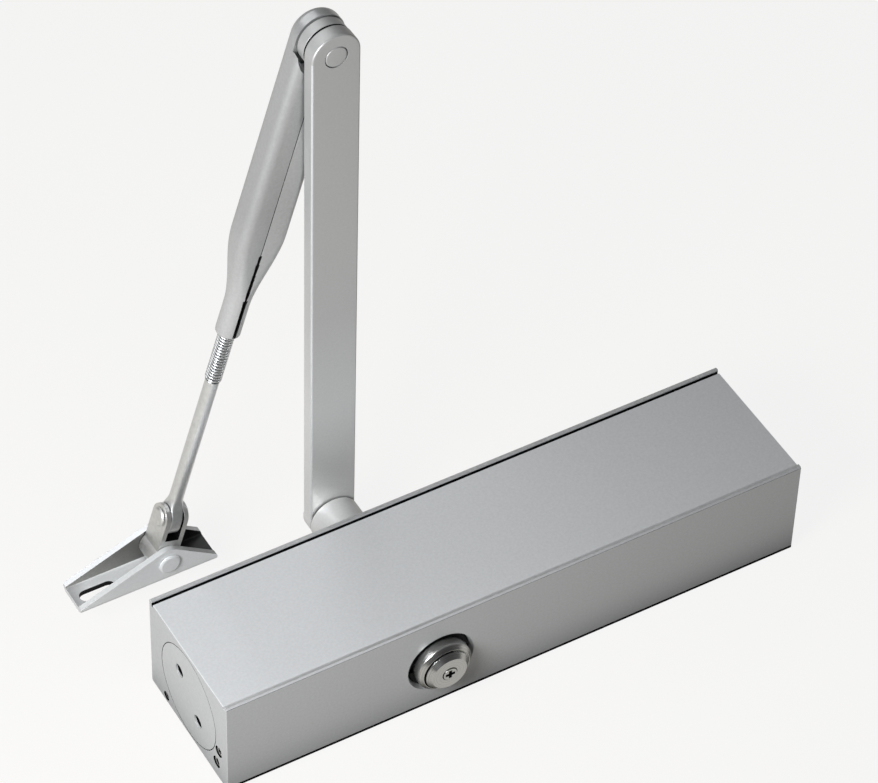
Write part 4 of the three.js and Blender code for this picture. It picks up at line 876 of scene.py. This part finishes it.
def ease(value, start, end):
    """share = x x (3 - 2 x), where x runs from 0 at start to 1 at end and stays there."""
    x = np.clip((value - start) / (end - start), 0, 1)
    return x * x * (3 - 2 * x)


def forearm_rings(offset, stations, dip):
    """section = flat part + (neck - flat part) share, let in by offset on every side."""
    share = ease(stations, EASE_START, EASE_END)
    sections = FLAT_PART + (NECK - FLAT_PART) * share[:, None] - offset * np.array([2, 2, 1])
    return [box_ring(*section, -station, dip * (1 - part))
            for section, station, part in zip(sections, stations, share)]


# %% Forearm
WALL = 2
EYE_FLAT, EYE_DEPTH = 6.2, FLAT_PART[1] / 2

stations = np.concatenate([np.linspace(0, 82, 12), np.linspace(EASE_START, 120, 37), [125]])
rings = forearm_rings(0, stations, 0.45)
neck_end = rounded([(4.7, -128), (4.7, -131.1), (2, -131.1)], [1.2])[1:-1]
rings += [box_ring(2 * r, 2 * r, r, station) for r, station in neck_end]
tube = solid("forearm", rings, frame_of=forearm_frame)
quarter = np.linspace(0, np.pi / 2, 12)
eye_edge = [(EYE_FLAT + FLAT_PART[2] * np.sin(q), -EYE_DEPTH + FLAT_PART[2] * (1 - np.cos(q)))
            for q in quarter]
eye_profile = eye_edge + [(r, -s) for r, s in eye_edge[::-1]]
eye = turned("eye", eye_profile, sides=128, frame_of=forearm_frame)
carve(tube, eye, operation="UNION")
inside = np.concatenate([[14], np.linspace(EASE_START, EASE_END, 18)])
hollow = solid("hollow", forearm_rings(WALL, inside, 0), frame_of=forearm_frame)
bore = turned("bore", [(3.5, -140), (3.5, -84)], "z", 64, frame_of=forearm_frame)
notch = turned("notch", [(12.8, -8), (12.8, -5.9), (10.8, -4), (10.8, -0.75)], sides=128,
               frame_of=forearm_frame)
rivet_hole = turned("hole", [(RIVET_HOLE, -9), (RIVET_HOLE, 9)], sides=64,
                    frame_of=forearm_frame)
slit = [[[-half, -9, z], [half, -9, z], [half, 0, z], [-half, 0, z]]
        for half, z in ((0.14, -8), (0.14, -90), (0.5, -114), (0.6, -140))]
seam = solid("seam", slit, frame_of=forearm_frame)
dress(carve(tube, hollow, bore, notch, rivet_hole, seam), "forearm_tube", 0.18, 2, 40)
x, y, z = seen_from(tube, forearm_frame)
in_seam = (abs(x) < np.where(z > -92, 0.2, 0.7)) & between(y, -5.6, -1.8)
# Painted shade: the walls of the seam are black.
paint(tube, (black_steel_and_painted_shade, in_seam))

# %% [markdown]
# ## Adjusting rod
# The rod screws into the forearm to set the arm's length. Its thread is rolled, so the crests are
# blunt: the radius follows a wave that climbs one pitch for each turn round the rod. Below the
# thread the rod is plain, and then it is squeezed flat into a tongue with a round end for the upper
# pin. The roots of the thread wear a darker steel, as painted shade in the grooves.

# %% Thread and shank
PIN_Z = -219.1
PITCH = 1.25
THREAD_START, THREAD_END = -110, -153.5
ROOT_RADIUS, THREAD_DEPTH = 2.45, 0.75
CREST_GAIN = 1.3
INNER_RADIUS, SHANK_RADIUS = 2.6, 2.7


def thread_rings(z, around=60):
    """Radius = root + depth h, where h goes up and down in straight lines once a pitch and is
    flattened at the crest: h = min(1, gain |2 (turns - floor(turns)) - 1|), where turns = z / pitch
    + t / 2 pi. The depth fades out over the last pitch at either end."""
    z = z[:, None]
    t = np.linspace(0, 2 * np.pi, around, endpoint=False)
    turns = z / PITCH + t / (2 * np.pi)
    wave = np.minimum(1, CREST_GAIN * abs(2 * (turns - np.floor(turns)) - 1))
    fade = np.clip((z - THREAD_END) / PITCH, 0, 1) * np.clip((THREAD_START - z) / PITCH, 0, 1)
    plain = np.where(z > THREAD_START - 10, INNER_RADIUS, SHANK_RADIUS)
    radius = plain * (1 - fade) + (ROOT_RADIUS + THREAD_DEPTH * wave) * fade
    along = np.broadcast_to(z, radius.shape)
    return np.stack([radius * np.cos(t), radius * np.sin(t), along], -1)


threaded = np.arange(THREAD_START, THREAD_END - 0.1, -PITCH / 14)
z = np.concatenate([[-92, -108], threaded, [-160, PIN_Z + 10]])
rod = solid("rod", thread_rings(z), frame_of=forearm_frame)
print(round((THREAD_START - THREAD_END) / PITCH), "turns of thread")

# %% Tongue
SHANK, THICK, WIDE, CORNER = 2 * SHANK_RADIUS, 5.0, 10.0, 0.8

drop = np.array([12, 9.6, 8.6, 7.6, 6.6, 5.6, 4.4, 3, 1.5, 0, -1.3, -2.6])
flat_share = 1 - ease(drop, 5.6, 9.6)
thick = SHANK + (THICK - SHANK) * flat_share
wide = SHANK + (WIDE - SHANK) * ease(drop, 7.6, 0)
corner = SHANK_RADIUS + (CORNER - SHANK_RADIUS) * flat_share
tongue_rings = [box_ring(*section, PIN_Z + s) for *section, s in zip(thick, wide, corner, drop)]
tongue_rings += [box_ring(THICK, WIDE * np.cos(a), CORNER, PIN_Z + drop[-1] - WIDE / 2 * np.sin(a))
                 for a in np.linspace(0.1, 1.5, 10)]
tongue = solid("tongue", tongue_rings, frame_of=forearm_frame)
pin_frame = (TILT, forearm_frame[1] + TILT @ np.array([0, 0, PIN_Z]))
carve(rod, tongue, operation="UNION")
eye_hole = turned("hole", [(2.5, -6), (2.5, 6)], "x", 64, frame_of=pin_frame)
dress(carve(rod, eye_hole), "threaded_rod", sharp_degrees=50)
x, y, z = seen_from(rod, forearm_frame)
# Painted shade: the roots of the thread wear the darker wire steel.
paint(rod, (spring_steel, (np.hypot(x, y) < 2.8) & between(z, -153.3, THREAD_START)))

# %% [markdown]
# ## Swivel and its pins
# The swivel is a small forging with two ears for the rod's tongue and a barrel, turned by a right
# angle, for the pin of the shoe. The slot between the ears is painted dark as shade. Both pins are
# headed at each end, and the heads are low, with a soft edge.

# %% Swivel and its pins
CLEARANCE = 0.3
SWIVEL_CENTRES = 17.6

swivel = dress(finer_copy("swivel_block", "swivel"), "swivel_block", 0.28)
x, y, z = seen_from(swivel, pin_frame)
# Painted shade: the walls of the slot between the ears are black.
paint(swivel, (black_steel_and_painted_shade, (abs(x) < 2.9) & (z > -12) & (y > -5)))


def headed_pin(name, radius, head, height, grip, axis, frame_of):
    """A shank between two low heads, the same on both ends."""
    seat = grip + CLEARANCE
    top = seat + height
    half = [(radius, seat), (head, seat), (head, seat + 0.45 * height), (0.82 * head, top),
            (0.3, top)]
    profile = [(r, -s) for r, s in half[::-1]] + half
    return turned(name, rounded(profile, (0.5, 0.2, 0.1, 0, 0, 0.1, 0.2, 0.5)), axis, 96,
                  frame_of=frame_of)


shoe_frame = at(*forearm_frame[1] + TILT @ np.array([0, 0, PIN_Z - SWIVEL_CENTRES]))
dress(headed_pin("pin_in_rod", 2.2, 3.75, 0.9, 4.7, "x", pin_frame), "upper_pin")
low_pin = dress(headed_pin("pin_in_shoe", 2.5, 4.35, 0.9, 7.8, "y", shoe_frame), "lower_pin")
low_pin.data.materials[0] = shoe_lacquer

# %% [markdown]
# ## Shoe
# The shoe is a channel bent from sheet and screwed to the door frame through its base. The frame
# holds its bends and its rising side walls, so a merged copy gets its sheared edges broken. Inside,
# the far wall and the base have their own lacquers, darker with painted shade, and so has the top
# edge of the near wall, which darkens to the right. The walls of the slot are painted dark as
# shade.

# %% Shoe
SLOT_Y = 62.95

shoe = dress(finer_copy("shoe_bracket", "shoe"), "shoe_bracket", 0.6, 3)
x, y, z = centres(shoe)
normals = np.empty(3 * len(shoe.data.polygons))
shoe.data.polygons.foreach_get("normal", normals)
facing_y, facing_z = normals.reshape(-1, 3).T[1:]
# Painted shade: the far wall inside, the base, the slot's walls and the near wall's top edge.
paint(shoe, (shoe_inside_painted_shade, between(y, 69, 70) & (facing_y < -0.3)),
      (shoe_base_painted_shade, (abs(y - FOREARM_Y) < 5.4) & (z < 21) & (facing_z > 0.6)),
      (black_steel_and_painted_shade, (abs(y - SLOT_Y) < 2.8) & between(z, 18, 19.5) & (x < -118)),
      (sheared_edge_painted_shade, (y < 60) & (z > 20.2) & (facing_z > 0.3)))

# %% [markdown]
# ## Closing spring
# The spring lies in the bore between the piston and the right plug. Opening the door presses it
# together: its right end stays with the housing, its left end follows the piston, and the turns
# between them close up. So it can't ride one body, and here it is built at the frame's length and
# rides none. The wire is a circle carried along a helix whose first and last turns lie close, as on
# a real compression spring.

# %% Closing spring
WIRE, TURNS, CLOSED_GAP = 5.5, 10, 0.6


def coil_rings(x0, x1, radius, steps=36, around=16):
    """Helix centre = (x, radius cos a, radius sin a), where x climbs by the closed pitch in the end
    turns and evenly between them. Wire = centre + half wire (cos s radial + sin s across), and
    across is the tangent times the radial direction."""
    turn = np.linspace(0, TURNS, TURNS * steps + 1)
    closed = WIRE + CLOSED_GAP
    open_pitch = (x1 - x0 - WIRE - 2 * closed) / (TURNS - 2)
    in_end = np.minimum(turn, 1) + np.maximum(turn - (TURNS - 1), 0)
    a = 2 * np.pi * turn
    x = x0 + WIRE / 2 + in_end * closed + (turn - in_end) * open_pitch
    centre = np.stack([x, radius * np.cos(a), radius * np.sin(a)], 1)
    tangent = np.gradient(centre, axis=0)
    tangent /= np.linalg.norm(tangent, axis=1)[:, None]
    radial = np.stack([np.zeros_like(a), np.cos(a), np.sin(a)], 1)
    across = np.cross(tangent, radial)
    s = np.linspace(0, 2 * np.pi, around, endpoint=False)[None, :, None]
    ring = np.cos(s) * radial[:, None] + np.sin(s) * across[:, None]
    return centre[:, None] + WIRE / 2 * ring


low, high = (np.array(corner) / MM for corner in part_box("closing_spring"))
middle = (low + high) / 2
coil = solid("coil_spring", coil_rings(low[0], high[0], (high[1] - low[1] - WIRE) / 2),
             frame_of=at(0, middle[1], middle[2]))
coil.data.shade_smooth()
coil.data.materials.append(spring_steel)
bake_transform(coil)
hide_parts("closing_spring")
print(coil.name, len(coil.data.polygons), "faces,", round(high[0] - low[0], 1), "mm long")

# %% [markdown]
# ## Pieces inside
# The spindle, the piston with its rack, the bearings and the seals are as the frame has them. They
# show through gaps or when the body is taken apart, so each gets its finish too. The two bearing
# caps are blackened.

# %% Pieces inside
shown = 0
for node, cad_piece in frame["nodes"].items():
    cad_piece.data.materials.clear()
    blackened = node.startswith("bearing_cap")
    cad_piece.data.materials.append(black_steel_and_painted_shade if blackened else FINISH[NODE_SLOT[node]])
    shown += not cad_piece.hide_render
print(shown, "pieces of the frame stay in view")

# %% [markdown]
# ## Sizes
# The dressed closer has to fill the same box as the frame, so both boxes are printed.

# %% Sizes
def corners(box):
    return [[float(value) for value in corner] for corner in box]


{"cad": corners(frame_box), "visual": corners(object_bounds())}
print("frame", corners(frame_box))
print("closer", corners(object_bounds()))
